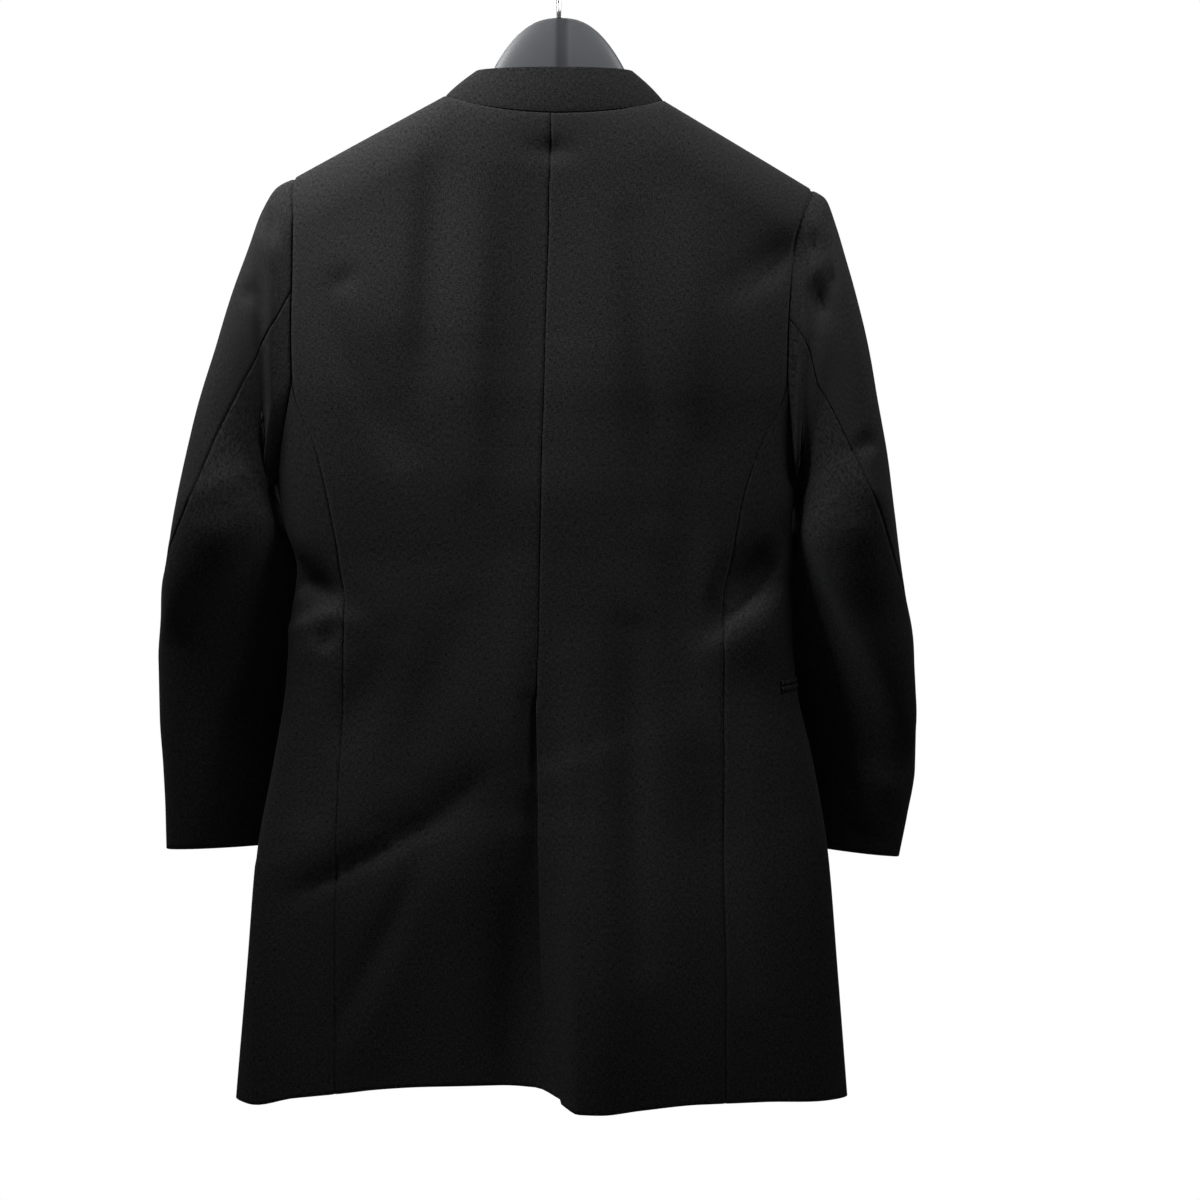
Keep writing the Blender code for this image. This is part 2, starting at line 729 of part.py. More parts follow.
def make_back_left(grid, right_grid, normals, material):
    """Left back panel with the underlay of the vent beneath the right one."""
    beyond = range(UNDERLAY_COLUMNS, 0, -1)
    whole = [[right_grid[r][c] for c in beyond] + row for r, row in enumerate(grid)]
    vent_row = LEVELS.index(VENT_TOP)
    cells = set()
    for row in range(len(whole) - 1):
        start = 0 if row < vent_row else UNDERLAY_COLUMNS
        cells |= {(row, column) for column in range(start, len(whole[0]) - 1)}

    def sink(row, column):
        """The underlay is sunk beneath the right panel."""
        return under_lap() if row <= vent_row and column <= UNDERLAY_COLUMNS else 0.0

    centre = [(row, UNDERLAY_COLUMNS) for row in range(vent_row + 1, len(whole))]
    add_wall("back_left", whole, normals, ("last", "high"), True, material,
             sink=sink, cells=cells, inner_seam=centre)


def make_front_right(grid, normals, material):
    """Right front panel, whose first two columns lie beneath the left one."""

    def sink(row, column):
        """The lapped columns are sunk."""
        return under_lap() if column <= 1 else 0.0

    add_wall("front_right", grid, normals, ("last", "high"), True, material, sink=sink)


def make_sleeve(name, grid, normals, flip, material):
    """Top and under sleeve, cut from the whole sleeve at its two seams."""
    count = len(grid[0])
    parts = (("under_sleeve", range(UNDER_COLUMNS + 1)),
             ("top_sleeve", range(UNDER_COLUMNS, UNDER_COLUMNS + TOP_COLUMNS + 1)))
    for part, columns in parts:
        piece = [[row[column % count] for column in columns] for row in grid]
        add_wall(f"{part}_{name}", piece, normals, ("first", "last", "low"), flip, material)


def column_point(grid, column, z):
    """Point of a panel's column at a height, on the face between its rows."""
    for low, high in zip(grid, grid[1:]):
        if low[column].z <= z <= high[column].z:
            share = (z - low[column].z) / (high[column].z - low[column].z)
            return low[column].lerp(high[column], share)
    raise ValueError("a pocket lies off its panel")


def pocket_path(pocket, flank, front):
    """Places of a pocket's ends and of each panel column it crosses."""
    last_side = 2 * SIDE_HALF
    last_front = len(front[0]) - 1

    def place(position, z):
        """Point at a column counted on from the side panel to the front."""
        grid, column = flank, position
        if position > last_side:
            grid, column = front, last_front - (position - last_side)
        low = math.floor(column)
        high = min(low + 1, len(grid[0]) - 1)
        return column_point(grid, low, z).lerp(column_point(grid, high, z), column - low)

    path = [(0.0, pocket.start)]
    gone, position = 0.0, pocket.start
    while gone < POCKET_LENGTH:
        after = math.floor(position) + 1
        step = (place(after, pocket.z) - place(position, pocket.z)).length
        if gone + step > POCKET_LENGTH:
            after = position + (after - position) * (POCKET_LENGTH - gone) / step
            step = POCKET_LENGTH - gone + JET_END_CLEAR
        gone += step
        position = after
        path.append((gone, position))
    return path, place


def make_jets(pocket, flank, front, material):
    """The two jets of a slanted pocket, laid on the side and front panels."""
    path, place = pocket_path(pocket, flank, front)
    for number, name in enumerate(("upper", "lower")):
        top = -number * (JET_HEIGHT + JET_PARTING)
        rows = []
        for rise in (top - JET_HEIGHT, top):
            row = []
            for gone, position in path:
                z = pocket.z + rise + POCKET_RISE * gone / POCKET_LENGTH
                row.append(place(position, z))
            rows.append(row)
        facing = []
        for index in range(len(path)):
            before, after = max(0, index - 1), min(len(path) - 1, index + 1)
            across = rows[0][after] - rows[0][before]
            normal = (rows[1][index] - rows[0][index]).cross(across) * pocket.side
            facing.append(normal.normalized())
        outer = [[p + n * (JET_LIFT + JET_WALL) for p, n in zip(row, facing)] for row in rows]
        inner = [[p + n * JET_LIFT for p, n in zip(row, facing)] for row in rows]
        mesh = wall_mesh(outer, inner, flip=pocket.side > 0)
        add_object(f"pocket_jet_{name}_{pocket.name}", mesh, material)


def make_buttons(material):
    """Turned buttons with a raised rim, down the lapped centre front."""
    rim = BUTTON_RADIUS - BUTTON_RIM
    floor = BUTTON_THICK - BUTTON_DISH
    profile = ((0, 0),
               (BUTTON_RADIUS - BUTTON_FOOT, 0),
               (BUTTON_RADIUS, BUTTON_FOOT_RISE),
               (BUTTON_RADIUS, BUTTON_THICK - BUTTON_EDGE),
               (BUTTON_RADIUS - BUTTON_EDGE, BUTTON_THICK),
               (rim, BUTTON_THICK),
               (rim - BUTTON_SLOPE, floor),
               (0, floor))
    for number in range(BUTTON_COUNT):
        mesh = bmesh.new()
        rings = []
        for radius, height in profile:
            if radius == 0:
                rings.append([mesh.verts.new((0, 0, height * MM))])
                continue
            ring = []
            for side in range(BUTTON_SIDES):
                turn = 2 * math.pi * side / BUTTON_SIDES
                place = Vector((radius * math.cos(turn), radius * math.sin(turn), height))
                ring.append(mesh.verts.new(place * MM))
            rings.append(ring)
        for inner, outer in zip(rings, rings[1:]):
            for side in range(BUTTON_SIDES):
                after = (side + 1) % BUTTON_SIDES
                corners = [inner[side % len(inner)], inner[after % len(inner)],
                           outer[after % len(outer)], outer[side % len(outer)]]
                mesh.faces.new(list(dict.fromkeys(corners)))
        bmesh.ops.recalc_face_normals(mesh, faces=mesh.faces)
        z = BUTTON_TOP - number * BUTTON_PITCH
        seat = body_at(CENTRE_FRONT, z, False)
        left = body_at(CENTRE_FRONT + BUTTON_SEAT, z, False)
        right = body_at(CENTRE_FRONT - BUTTON_SEAT, z, False)
        high = body_at(CENTRE_FRONT, z + BUTTON_SEAT, False)
        low = body_at(CENTRE_FRONT, z - BUTTON_SEAT, False)
        across = left - right
        up = high - low
        out = up.cross(across).normalized()
        if out.y > 0:
            out.negate()
        side = across.normalized()
        frame = Matrix((side, out.cross(side), out)).transposed().to_4x4()
        item = add_object(f"button_{number + 1}", mesh, material)
        item.matrix_world = Matrix.Translation((seat + out * BUTTON_LIFT) * MM) @ frame


# ---------------------------------------------------------------------- hanger
def hanger_top(x):
    """Height of the hanger's upper edge: an arched head that runs into arms."""
    arch = HEAD_TOP - HEAD_FALL * (abs(x) / HEAD_HALF) ** HEAD_POWER
    neck, shoulder = (NECK_LEFT, SHOULDER_LEFT) if x > 0 else (NECK_RIGHT, SHOULDER_RIGHT)
    slope = (shoulder.z - neck.z) / (shoulder.x - neck.x)
    arm = neck.z + slope * (x - neck.x) - HANGER_CLEAR
    arm -= HANGER_HOLLOW * max(0.0, 1 - abs(x - neck.x) / HANGER_HOLLOW_REACH) ** 2
    return max(arch, arm)


def make_hanger(material):
    """One moulding: a tall arched head and two broad arms."""
    mesh = bmesh.new()
    rings = []
    for station in range(HANGER_STATIONS + 1):
        share = station / HANGER_STATIONS
        x = blend(HANGER_RIGHT_END, HANGER_LEFT_END, share)
        reach = abs(x) / (HANGER_LEFT_END if x > 0 else -HANGER_RIGHT_END)
        tip = ease((reach - HANGER_TIP_START) / (1 - HANGER_TIP_START))
        close = math.sqrt(1 - tip * HANGER_TIP_CLOSE)
        top = hanger_top(x)
        height = blend(HANGER_ARM_HEIGHT, HANGER_END_HEIGHT, reach)
        low = top - height
        head = ease(1 - (abs(x) - HANGER_HEAD_HALF) / HANGER_HEAD_RUN)
        low = blend(low, min(low, HANGER_HEAD_BOTTOM), head)
        middle, half = (top + low) / 2, (top - low) / 2
        depth = blend(HANGER_HALF_DEPTH, HANGER_END_DEPTH, ease(2 * reach - 1))
        ring = []
        for side in range(HANGER_SIDES):
            turn = 2 * math.pi * side / HANGER_SIDES
            power = 2 / HANGER_SQUARENESS
            cosine, sine = math.cos(turn), math.sin(turn)
            y = depth * close * math.copysign(abs(sine) ** power, sine)
            z = middle + half * close * math.copysign(abs(cosine) ** power, cosine)
            ring.append(mesh.verts.new(Vector((x, y, z)) * MM))
        rings.append(ring)
    for low_ring, high_ring in zip(rings, rings[1:]):
        for side in range(HANGER_SIDES):
            after = (side + 1) % HANGER_SIDES
            mesh.faces.new([low_ring[side], low_ring[after], high_ring[after], high_ring[side]])
    mesh.faces.new(list(reversed(rings[0])))
    mesh.faces.new(rings[-1])
    bmesh.ops.triangulate(mesh, faces=mesh.faces)
    bmesh.ops.recalc_face_normals(mesh, faces=mesh.faces)
    add_object("hanger", mesh, material)


def hook_path():
    """Centre line of the hook: a stem, a bend, and most of a circle."""
    radius = HOOK_BORE + HOOK_WIRE
    centre = Vector((0, 0, -HOOK_BORE))
    points = [Vector((x, 0, z)) for x, z in HOOK_STEM]
    for degrees in range(HOOK_START, HOOK_END + 1, HOOK_STEP):
        turn = math.radians(degrees)
        points.append(centre + Vector((math.cos(turn), 0, math.sin(turn))) * radius)
    return points


def make_hook(material):
    """Round wire swept along the hook's centre line."""
    mesh = bmesh.new()
    points = hook_path()
    rings = []
    for index, point in enumerate(points):
        before, after = points[max(0, index - 1)], points[min(len(points) - 1, index + 1)]
        along = (after - before).normalized()
        side = Vector((0, 1, 0))
        other = along.cross(side)
        ring = []
        for corner in range(HOOK_SIDES):
            turn = 2 * math.pi * corner / HOOK_SIDES
            place = point + (side * math.cos(turn) + other * math.sin(turn)) * HOOK_WIRE
            ring.append(mesh.verts.new(place * MM))
        rings.append(ring)
    for low, high in zip(rings, rings[1:]):
        for corner in range(HOOK_SIDES):
            after = (corner + 1) % HOOK_SIDES
            mesh.faces.new([low[corner], low[after], high[after], high[corner]])
    mesh.faces.new(list(reversed(rings[0])))
    mesh.faces.new(rings[-1])
    bmesh.ops.recalc_face_normals(mesh, faces=mesh.faces)
    add_object("hook", mesh, material)


# ------------------------------------------------------------------- materials
def make_material(name, color, roughness, metallic=0.0):
    """A plain Principled material."""
    material = bpy.data.materials.new(name)
    material.use_nodes = True
    shader = material.node_tree.nodes["Principled BSDF"]
    shader.inputs["Base Color"].default_value = (*color, 1.0)
    shader.inputs["Roughness"].default_value = roughness
    shader.inputs["Metallic"].default_value = metallic
    return material


def neck_points(backs, fronts):
    """Neck seam from the left centre front, round the back, to the right one."""
    left_front = [fronts[1][-1][column] for column in range(1, NECK_COLUMNS + 1)]
    left_back = [backs[1][-1][column] for column in range(NECK_COLUMNS - 1, -1, -1)]
    right_back = [backs[-1][-1][column] for column in range(1, NECK_COLUMNS)]
    right_front = [fronts[-1][-1][column] for column in range(NECK_COLUMNS, 0, -1)]
    lap_start, lap_end = fronts[1][-1][0], fronts[1][-1][1]
    start = lap_start.lerp(lap_end, 0.5 + COLLAR_OPENING / (2 * LAP))
    end = lap_start.lerp(lap_end, 0.5 - COLLAR_OPENING / (2 * LAP))
    return [start] + left_front + left_back + right_back + right_front + [end]


def main():
    for item in list(bpy.data.objects):
        bpy.data.objects.remove(item, do_unlink=True)
    wool = make_material("black wool", (0.012, 0.012, 0.013), 0.85)
    horn = make_material("black button", (0.02, 0.018, 0.016), 0.35)
    plastic = make_material("dark grey plastic", (0.11, 0.112, 0.118), 0.4)
    steel = make_material("hook steel", (0.6, 0.6, 0.61), 0.25, 1.0)

    sides = (1, -1)
    backs = {side: panel_grid(side, True) for side in sides}
    fronts = {side: panel_grid(side, False) for side in sides}
    flanks = {side: side_grid(side) for side in sides}
    loops = {1: SLEEVE_LEFT, -1: SLEEVE_RIGHT}
    sleeves = {}
    for side in sides:
        rim = armhole_loop(side, backs[side], fronts[side], flanks[side])
        sleeves[side] = sleeve_grid(loops[side], rim)
    neck = neck_points(backs, fronts)
    collar = collar_grid(neck)

    normals = {}
    for side in sides:
        add_normals(normals, backs[side], False, side > 0)
        add_normals(normals, fronts[side], False, side < 0)
        add_normals(normals, flanks[side], False, side > 0)
        add_normals(normals, sleeves[side], True, side > 0)
    add_normals(normals, collar, False, False)

    make_back_left(backs[1], backs[-1], normals, wool)
    add_wall("back_right", backs[-1], normals, ("last", "high", "first"), False, wool)
    add_wall("front_left", fronts[1], normals, ("last", "high"), False, wool)
    make_front_right(fronts[-1], normals, wool)
    for side, name in ((1, "left"), (-1, "right")):
        add_wall(f"side_{name}", flanks[side], normals, ("first", "last", "high"), side > 0, wool)
        make_sleeve(name, sleeves[side], normals, side > 0, wool)
    add_wall("stand_collar", collar, normals, ("low",), False, wool, wall=COLLAR_WALL)
    for pocket in POCKETS:
        make_jets(pocket, flanks[pocket.side], fronts[pocket.side], wool)
    make_buttons(horn)
    make_hanger(plastic)
    make_hook(steel)


if __name__ == "__main__":
    main()
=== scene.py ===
"""A long tailored jacket with a stand collar on its hanger, dressed for a picture.

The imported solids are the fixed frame. Every cloth piece is worked out again from
the same rings, loops and ellipses as the solid it stands for, on a finer grid,
and then gets its creases, its sunken seams, its turned edges and its weave. +Z
is up, the back of the jacket faces +Y and the wearer's left is +X. Tables and
sizes are in millimetres, and meshes are made in metres.
"""

import math
from collections import namedtuple

import bmesh
import bpy
import numpy as np
from bpy.props import FloatProperty, IntProperty, PointerProperty, StringProperty
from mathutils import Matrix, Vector


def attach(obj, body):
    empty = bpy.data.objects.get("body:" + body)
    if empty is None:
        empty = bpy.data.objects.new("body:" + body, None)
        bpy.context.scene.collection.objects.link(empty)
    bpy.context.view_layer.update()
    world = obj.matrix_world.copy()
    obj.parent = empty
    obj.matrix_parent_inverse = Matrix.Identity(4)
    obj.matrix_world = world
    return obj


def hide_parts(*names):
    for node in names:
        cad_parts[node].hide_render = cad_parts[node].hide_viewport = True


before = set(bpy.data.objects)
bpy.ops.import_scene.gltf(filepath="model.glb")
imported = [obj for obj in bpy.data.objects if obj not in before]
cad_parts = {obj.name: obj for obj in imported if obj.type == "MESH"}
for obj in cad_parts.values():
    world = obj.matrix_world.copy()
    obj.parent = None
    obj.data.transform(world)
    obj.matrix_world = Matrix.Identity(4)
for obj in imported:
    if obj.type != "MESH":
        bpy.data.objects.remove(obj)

bl_info = {
    "name": "Tailored jacket on a hanger",
    "version": (1, 0, 0),
    "blender": (4, 5, 0),
    "location": "View3D > Sidebar > Jacket",
    "description": "Cloth, buttons, hanger and studio of a long tailored jacket",
    "category": "Object",
}

MM = 0.001


def table(kind, *rows):
    """Rows of numbers as named tuples of one kind."""
    return tuple(kind(*row) for row in rows)


# ------------------------------------------------------------------ measures
ROUNDNESS = 2.4             # exponent of the flattened body ring
HEM = -1003.0
ARMHOLE_JOIN = -392.0       # where the back and front seams meet the armhole
UNDERARM = -480.0
VENT_TOP = -668.0
SWAY_TOP = -640.0
DROP_TOP = -880.0
SHOULDER_ROUND = 55.0       # depth over which the shoulder rounds off
CENTRE_FRONT = 8.0
LAP = 15.0                  # the front laps this far past its centre line
LAP_SINK = 2.3              # how far the lower of two lapped layers lies beneath
ALLOWANCE_SINK = 2.75       # how far a seam allowance lies beneath the next panel

Ring = namedtuple("Ring", "z left right back front")
RINGS = table(
    Ring,
    (-1050, 284, -255, 32, 44), (-1009, 281, -252, 32, 44), (-900, 271, -243, 34, 43),
    (-800, 263, -235, 37, 42), (-720, 249, -222, 38, 41), (-655, 239, -208, 37, 40),
    (-600, 235, -204, 36, 39), (-552, 229, -204, 37, 40), (-520, 238, -204, 39, 42),
    (-480, 246, -207, 42, 45), (-430, 255, -216, 44, 47), (-392, 261, -225, 46, 48),
    (-340, 266, -232, 46, 49), (-213, 268, -240, 44, 48), (-140, 268, -240, 42, 46),
)

# Seams of the back: its centre, and the outer edge of each back panel. "fore" is
# how much further out the outer edge of the front panel lies.
Seam = namedtuple("Seam", "z centre left right fore")
SEAMS = table(
    Seam,
    (-1030, -17, 192, -143, 18), (-1000, -2, 192, -143, 18), (-965, 5, 192, -143, 18),
    (-895, 14, 192, -144, 18), (-755, 17, 191, -144, 18), (-668, 18, 188, -143, 18),
    (-598, 17, 186, -143, 17), (-546, 16, 190, -150, 14), (-493, 15, 199, -159, 9),
    (-449, 14, 209, -173, 4), (-392, 12, 229, -197, 0), (-345, 11, 230, -198, -6),
    (-283, 9, 229, -204, -7), (-252, 8, 229, -211, -4), (-221, 8, 231, -221, 0), (-211, 7, 231, -221, 0),
    (-150, 6, 231, -221, 0),
)

# Sway of the hem towards the back, and how far it dips, across each half.
Hem = namedtuple("Hem", "x sway dip")
HEM_BACK = table(
    Hem,
    (-252, 8, 8), (-228, 15, 8), (-176, 20, 6), (-123, 26, 6), (-70, 34, 9), (-36, 42, 11), (-18, 40, 11),
    (2, 22, 3), (22, 6, -4), (50, 0, -5), (110, 0, -4), (157, 4, -2), (190, 10, 1), (227, 17, 4),
    (262, 18, 11), (281, 12, 9),
)
HEM_FRONT = table(
    Hem,
    (-252, 8, 8), (-190, -4, 5), (-110, -9, 6), (-10, 0, 9), (70, 5, 8), (180, -7, 5), (281, 12, 9),
)

# Folds and creases: a line from one point to another as seen from behind or in
# front, how wide it is above and below that line, and its height, which is
# negative for a trough. "Above" is to the wearer's right of an upright line.
Fold = namedtuple("Fold", "x0 z0 x1 z1 above below height")
BACK_FOLDS = table(
    Fold,
    # the broad folds of the solids
    (232, -838, 62, -734, 26, 26, -4.0), (215, -800, 95, -740, 30, 30, 3.0),
    (236, -575, 186, -612, 20, 20, -6.0), (240, -628, 190, -600, 18, 18, 4.0),
    (-148, -582, -196, -546, 22, 22, -6.0), (-146, -622, -200, -600, 28, 28, 5.0),
    (52, -820, 40, -1010, 26, 26, -5.0), (150, -345, 128, -470, 30, 30, -3.0),
    (-160, -300, -198, -262, 26, 26, -3.0),
)
FRONT_FOLDS = table(
    Fold,
    (232, -560, 170, -600, 22, 22, -5.0), (-200, -560, -140, -605, 22, 22, -5.0),
    (120, -420, 60, -560, 34, 34, -3.0), (-105, -430, -50, -565, 34, 34, -3.0),
    (130, -760, 150, -1000, 34, 34, 4.0), (-115, -780, -130, -1000, 34, 34, -4.0),
)
BACK_CREASES = table(
    Fold,
    # swell of the shoulder blades, with the hollow of the spine between them
    (215, -345, 95, -352, 70, 110, 6.0), (-30, -352, -165, -345, 110, 70, 6.0),
    (16, -205, 10, -440, 38, 38, -8.5),
    # the long crease across the left skirt, and the softer ones that leave it
    (226, -836, 150, -796, 8, 4, -4.2), (170, -806, 98, -769, 8, 4, -4.6),
    (112, -778, 60, -732, 12, 6, -2.0), (118, -800, 186, -945, 10, 14, -4.8),
    (240, -790, 184, -786, 16, 60, 3.4),
    # pinches at both sides of the waist
    (238, -556, 190, -586, 18, 7, -13.0), (236, -608, 186, -586, 7, 9, 4.6),
    (208, -618, 196, -613, 7, 7, -3.6), (-140, -604, -194, -526, 17, 8, -12.0),
    (-150, -604, -204, -578, 14, 24, 2.4),
    # the broad soft drapes below it
    (150, -620, 196, -720, 24, 28, -6.4), (90, -600, 130, -720, 22, 26, -4.4),
    (60, -740, 180, -780, 110, 40, -8.0), (34, -560, 40, -740, 18, 18, 3.4),
    (-62, -610, -72, -880, 16, 20, -7.4), (-104, -470, -116, -650, 16, 20, -5.0),
    (-80, -770, -170, -770, 120, 60, -6.0), (-130, -730, -158, -900, 18, 22, -6.0),
    (150, -860, 170, -1000, 16, 20, 3.6),
    # hollows of the shoulder blades and below the neck
    (190, -300, 176, -310, 9, 11, -4.2), (196, -318, 136, -452, 13, 16, -5.6),
    (106, -190, 116, -400, 12, 18, -5.6), (64, -210, 70, -470, 18, 14, 3.4),
    (-60, -260, -84, -500, 18, 14, -5.4), (-110, -250, -124, -420, 16, 16, 3.8),
    (-150, -312, -206, -264, 9, 14, -9.0), (16, -192, -8, -196, 9, 9, -4.4),
)
# the left back falls away beneath the vent's lap, and the lap rolls outwards
VENT_HOLLOW = table(
    Fold,
    (22, -780, 8, -1010, 24, 36, -12.0), (13, -640, 15, -800, 12, 12, -4.0),
)
VENT_ROLL = table(
    Fold,
    (-12, -640, -20, -840, 22, 16, 2.6), (-26, -820, -40, -1010, 34, 22, 4.5),
    (-30, -690, -12, -825, 5, 8, -0.7),
)
FRONT_CREASES = table(
    Fold,
    (150, -300, 110, -420, 16, 20, -2.1), (-140, -300, -104, -430, 16, 20, -2.4),
    (226, -556, 176, -590, 9, 12, -3.3), (-196, -556, -150, -598, 9, 12, -3.3),
    (190, -690, 110, -840, 14, 20, -2.1), (-170, -700, -96, -860, 14, 18, -2.0),
)

# Neck and collar
Spot = namedtuple("Spot", "x z")
NECK = {1: Spot(100.0, -140.0), -1: Spot(-92.0, -144.0)}
SHOULDER = {1: Spot(231.0, -211.0), -1: Spot(-221.0, -221.0)}
NECK_MIDDLE = (NECK[1].x + NECK[-1].x) / 2
NECK_HALF = (NECK[1].x - NECK[-1].x) / 2
NECK_BACK_Z = -155.0
NECK_BACK_DEPTH = 38.0
NECK_FRONT_DEPTH = 46.0
NECK_BACK_DIP = 19.0
NECK_FRONT_DIP = 72.0
NECK_CURVE = 0.8
COLLAR_BACK_TOP = -121.5
COLLAR_SIDE_TOP = -118.0
COLLAR_FRONT_TOP = -180.0
COLLAR_TOP_HALF = 69.0
COLLAR_TOP_BACK = 34.0
COLLAR_TOP_FRONT = 48.0
COLLAR_FALL = 1.5
COLLAR_SWELL = 1.5
COLLAR_OPENING = 2.5        # half of the parting at the centre front
COLLAR_COLUMNS = 121
COLLAR_LINES = (0, 0.02, 0.05, 0.09, 0.16, 0.26, 0.38, 0.5, 0.62, 0.74, 0.84, 0.92, 0.97, 1)

# Columns and rows of the coarse grids that the fine ones lie on
NECK_COLUMNS = 4
SHOULDER_COLUMNS = 4
SIDE_HALF = 4
UNDERLAY_COLUMNS = 3
LEVELS = (HEM, -985, -950, -910, -865, -820, -770, -718, VENT_TOP, -634, -600,
          -568, -536, -504, -468, -430, ARMHOLE_JOIN)
SIDE_SQUEEZE = -634.0
ARMHOLE_STEPS = 8
ARMHOLE_BUNCHING = 1.6
JOIN_ROW = len(LEVELS) - 1
ROW_COUNT = JOIN_ROW + ARMHOLE_STEPS
VENT_ROW = LEVELS.index(VENT_TOP)

# Sleeves: every loop is a slanting ellipse from its outer line to its inner line.
# Both sleeves have the same depths, and an outline and a back seam of their own.
Loop = namedtuple("Loop", "mid lean deep free out_x out_z in_x in_z seam")
LOOP_DEPTHS = (
    (0, 0, 30, 0.0), (0, 0, 33, 0.35), (-5, 4, 37, 0.65), (-8, 14, 41, 0.85), (-13, 20, 45, 1.0),
    (-15, 23, 47, 1.0), (-17, 26, 49, 1.0), (-17, 28, 51, 1.0), (-20, 28, 52, 1.0), (-28, 25, 48, 1.0),
    (-38, 23, 43, 1.0), (-45, 25, 40, 1.0), (-51, 25, 37, 1.0), (-56, 24, 35, 1.0), (-60, 23, 33, 1.0),
    (-63, 22, 31, 1.0),
)
SLEEVE_OUTLINES = {
    1: (
        (231, -211, 246, -480, 84), (246, -219, 257, -482, 92), (259, -239, 257, -487, 91),
        (270, -273, 252, -493, 86), (285, -315, 246, -498, 79), (299, -362, 241, -504, 71),
        (313, -408, 236, -511, 63), (324, -455, 231, -521, 54), (334, -500, 226, -534, 45),
        (343, -545, 223, -558, 27), (350, -590, 222, -593, 8), (354, -636, 224, -636, -4),
        (354, -682, 226, -682, -8), (352, -728, 228, -728, -8), (351, -769, 231, -766, -8),
        (351, -801, 234, -798, -8),
    ),
    -1: (
        (-221, -221, -207, -480, 96), (-233, -229, -208, -482, 96), (-242, -251, -207, -487, 95),
        (-249, -278, -205, -493, 95), (-259, -314, -204, -498, 90), (-270, -361, -203, -504, 83),
        (-278, -408, -199, -511, 73), (-286, -455, -196, -521, 62), (-292, -500, -192, -534, 49),
        (-299, -545, -190, -558, 37), (-307, -590, -189, -593, 22), (-312, -636, -190, -636, 9),
        (-316, -687, -191, -684, 0), (-316, -729, -193, -727, -5), (-310, -770, -192, -762, -8),
        (-303, -808, -190, -796, -8),
    ),
}
SLEEVES = {side: table(Loop, *map(tuple.__add__, LOOP_DEPTHS, outline))
           for side, outline in SLEEVE_OUTLINES.items()}
FRONT_SLEEVE_SEAM = 225.0

# Places round the armhole, counted from the shoulder down the back and up the
# front, where the front seam and both back seams of the sleeves meet it.
FRONT_SEAM_PLACE = 15.0
BACK_SEAM_PLACES = {"left": 5.6, "right": 6.4}
UNDER_COLUMNS = 10
TOP_COLUMNS = 14

# Folds round a sleeve: row and angle of both ends, width in rows, and height.
SleeveFold = namedtuple("SleeveFold", "row0 angle0 row1 angle1 width height")
SLEEVE_FOLDS = table(
    SleeveFold,
    (8.4, 250, 11.0, 190, 0.7, -4.0),
)
SLEEVE_BACK_CREASES = table(
    Fold,
    # left sleeve: dimples of the head, pulls and the break at the elbow
    (256, -240, 243, -268, 6, 6, -6.0), (262, -254, 250, -290, 6, 7, 3.4),
    (272, -310, 262, -322, 8, 8, -4.4), (326, -498, 270, -468, 9, 12, 2.6),
    (224, -478, 346, -600, 52, 17, 15.0),
    # right sleeve: two dimples of the head with a roll between them, and breaks
    (-216, -268, -224, -274, 7, 6, -6.0), (-214, -302, -234, -288, 6, 6, 4.6),
    (-216, -312, -234, -332, 9, 10, -7.0), (-236, -288, -237, -314, 6, 6, -2.6),
    (-256, -452, -274, -440, 8, 7, -4.6), (-250, -470, -290, -505, 9, 12, 2.4),
    (-204, -474, -310, -698, 56, 15, 15.0), (-258, -724, -302, -758, 16, 14, 4.6),
    (-230, -752, -290, -800, 12, 14, -3.4),
)
SLEEVE_FRONT_CREASES = table(
    Fold,
    (250, -240, 247, -290, 6, 7, -1.6), (-232, -250, -229, -300, 6, 7, -1.6),
    (238, -520, 330, -560, 14, 18, -2.8), (246, -580, 330, -640, 16, 18, -2.0),
    (-206, -520, -286, -566, 14, 18, -2.8), (-212, -590, -300, -650, 14, 18, -2.0),
)

# Pockets: two jets on each side, from a column of the side panel to the front.
POCKET_LENGTH = 150.0
POCKET_RISE = 26.0
POCKET_Z = -650.0
JET_HEIGHT = 4.6
JET_PARTING = 0.8
JET_LINES = 9               # across a jet
POCKET_LINES = 51           # along it
JET_LIFT = (0.35, 1.15)     # of its edges over the cloth, and of its middle over them
Pocket = namedtuple("Pocket", "name side start")
POCKETS = table(Pocket, ("left", 1, 3.8), ("right", -1, 2.2))

BUTTON_COUNT = 5
BUTTON_TOP = -245.0
BUTTON_PITCH = 98.0
BUTTON_SIDES = 72
BUTTON_DISH = 1.0           # how far the middle lies beneath the rim
BUTTON_SHANK = 0.6          # how far the button stands off the cloth
HOLE_DEPTH = 1.6
HOLE_EDGE = 1.25            # half the pitch of both worked sides of a buttonhole

# Hanger and hook
HEAD_TOP = -70.0
HEAD_FALL = 45.5
HEAD_HALF = 57.3
HEAD_POWER = 2.4
HANGER_LEFT_END = 208.0
HANGER_RIGHT_END = -200.0
HANGER_CLEAR = 5.0
HANGER_HALF_DEPTH = 9.5
HANGER_END_DEPTH = 17.0
HANGER_ARM_HEIGHT = 36.0
HANGER_END_HEIGHT = 28.0
HANGER_HEAD_BOTTOM = -196.0
HANGER_SQUARENESS = 2.1
HANGER_STATIONS = 201
HANGER_SIDES = 56
HOOK_SIDES = 20
HOOK_WIRE = 2.0
HOOK_BORE = 20.0
HOOK_STEM = ((0, HEAD_TOP - 1.5), (0, -64), (0, -58), (0.2, -55), (1.0, -52), (2.6, -49),
             (4.8, -46.6))
HOOK_TURN = (-58, 203, 6)   # first angle, end and step of the circle, in degrees
ARM_DIP = 8.0               # of the arms next to the neck
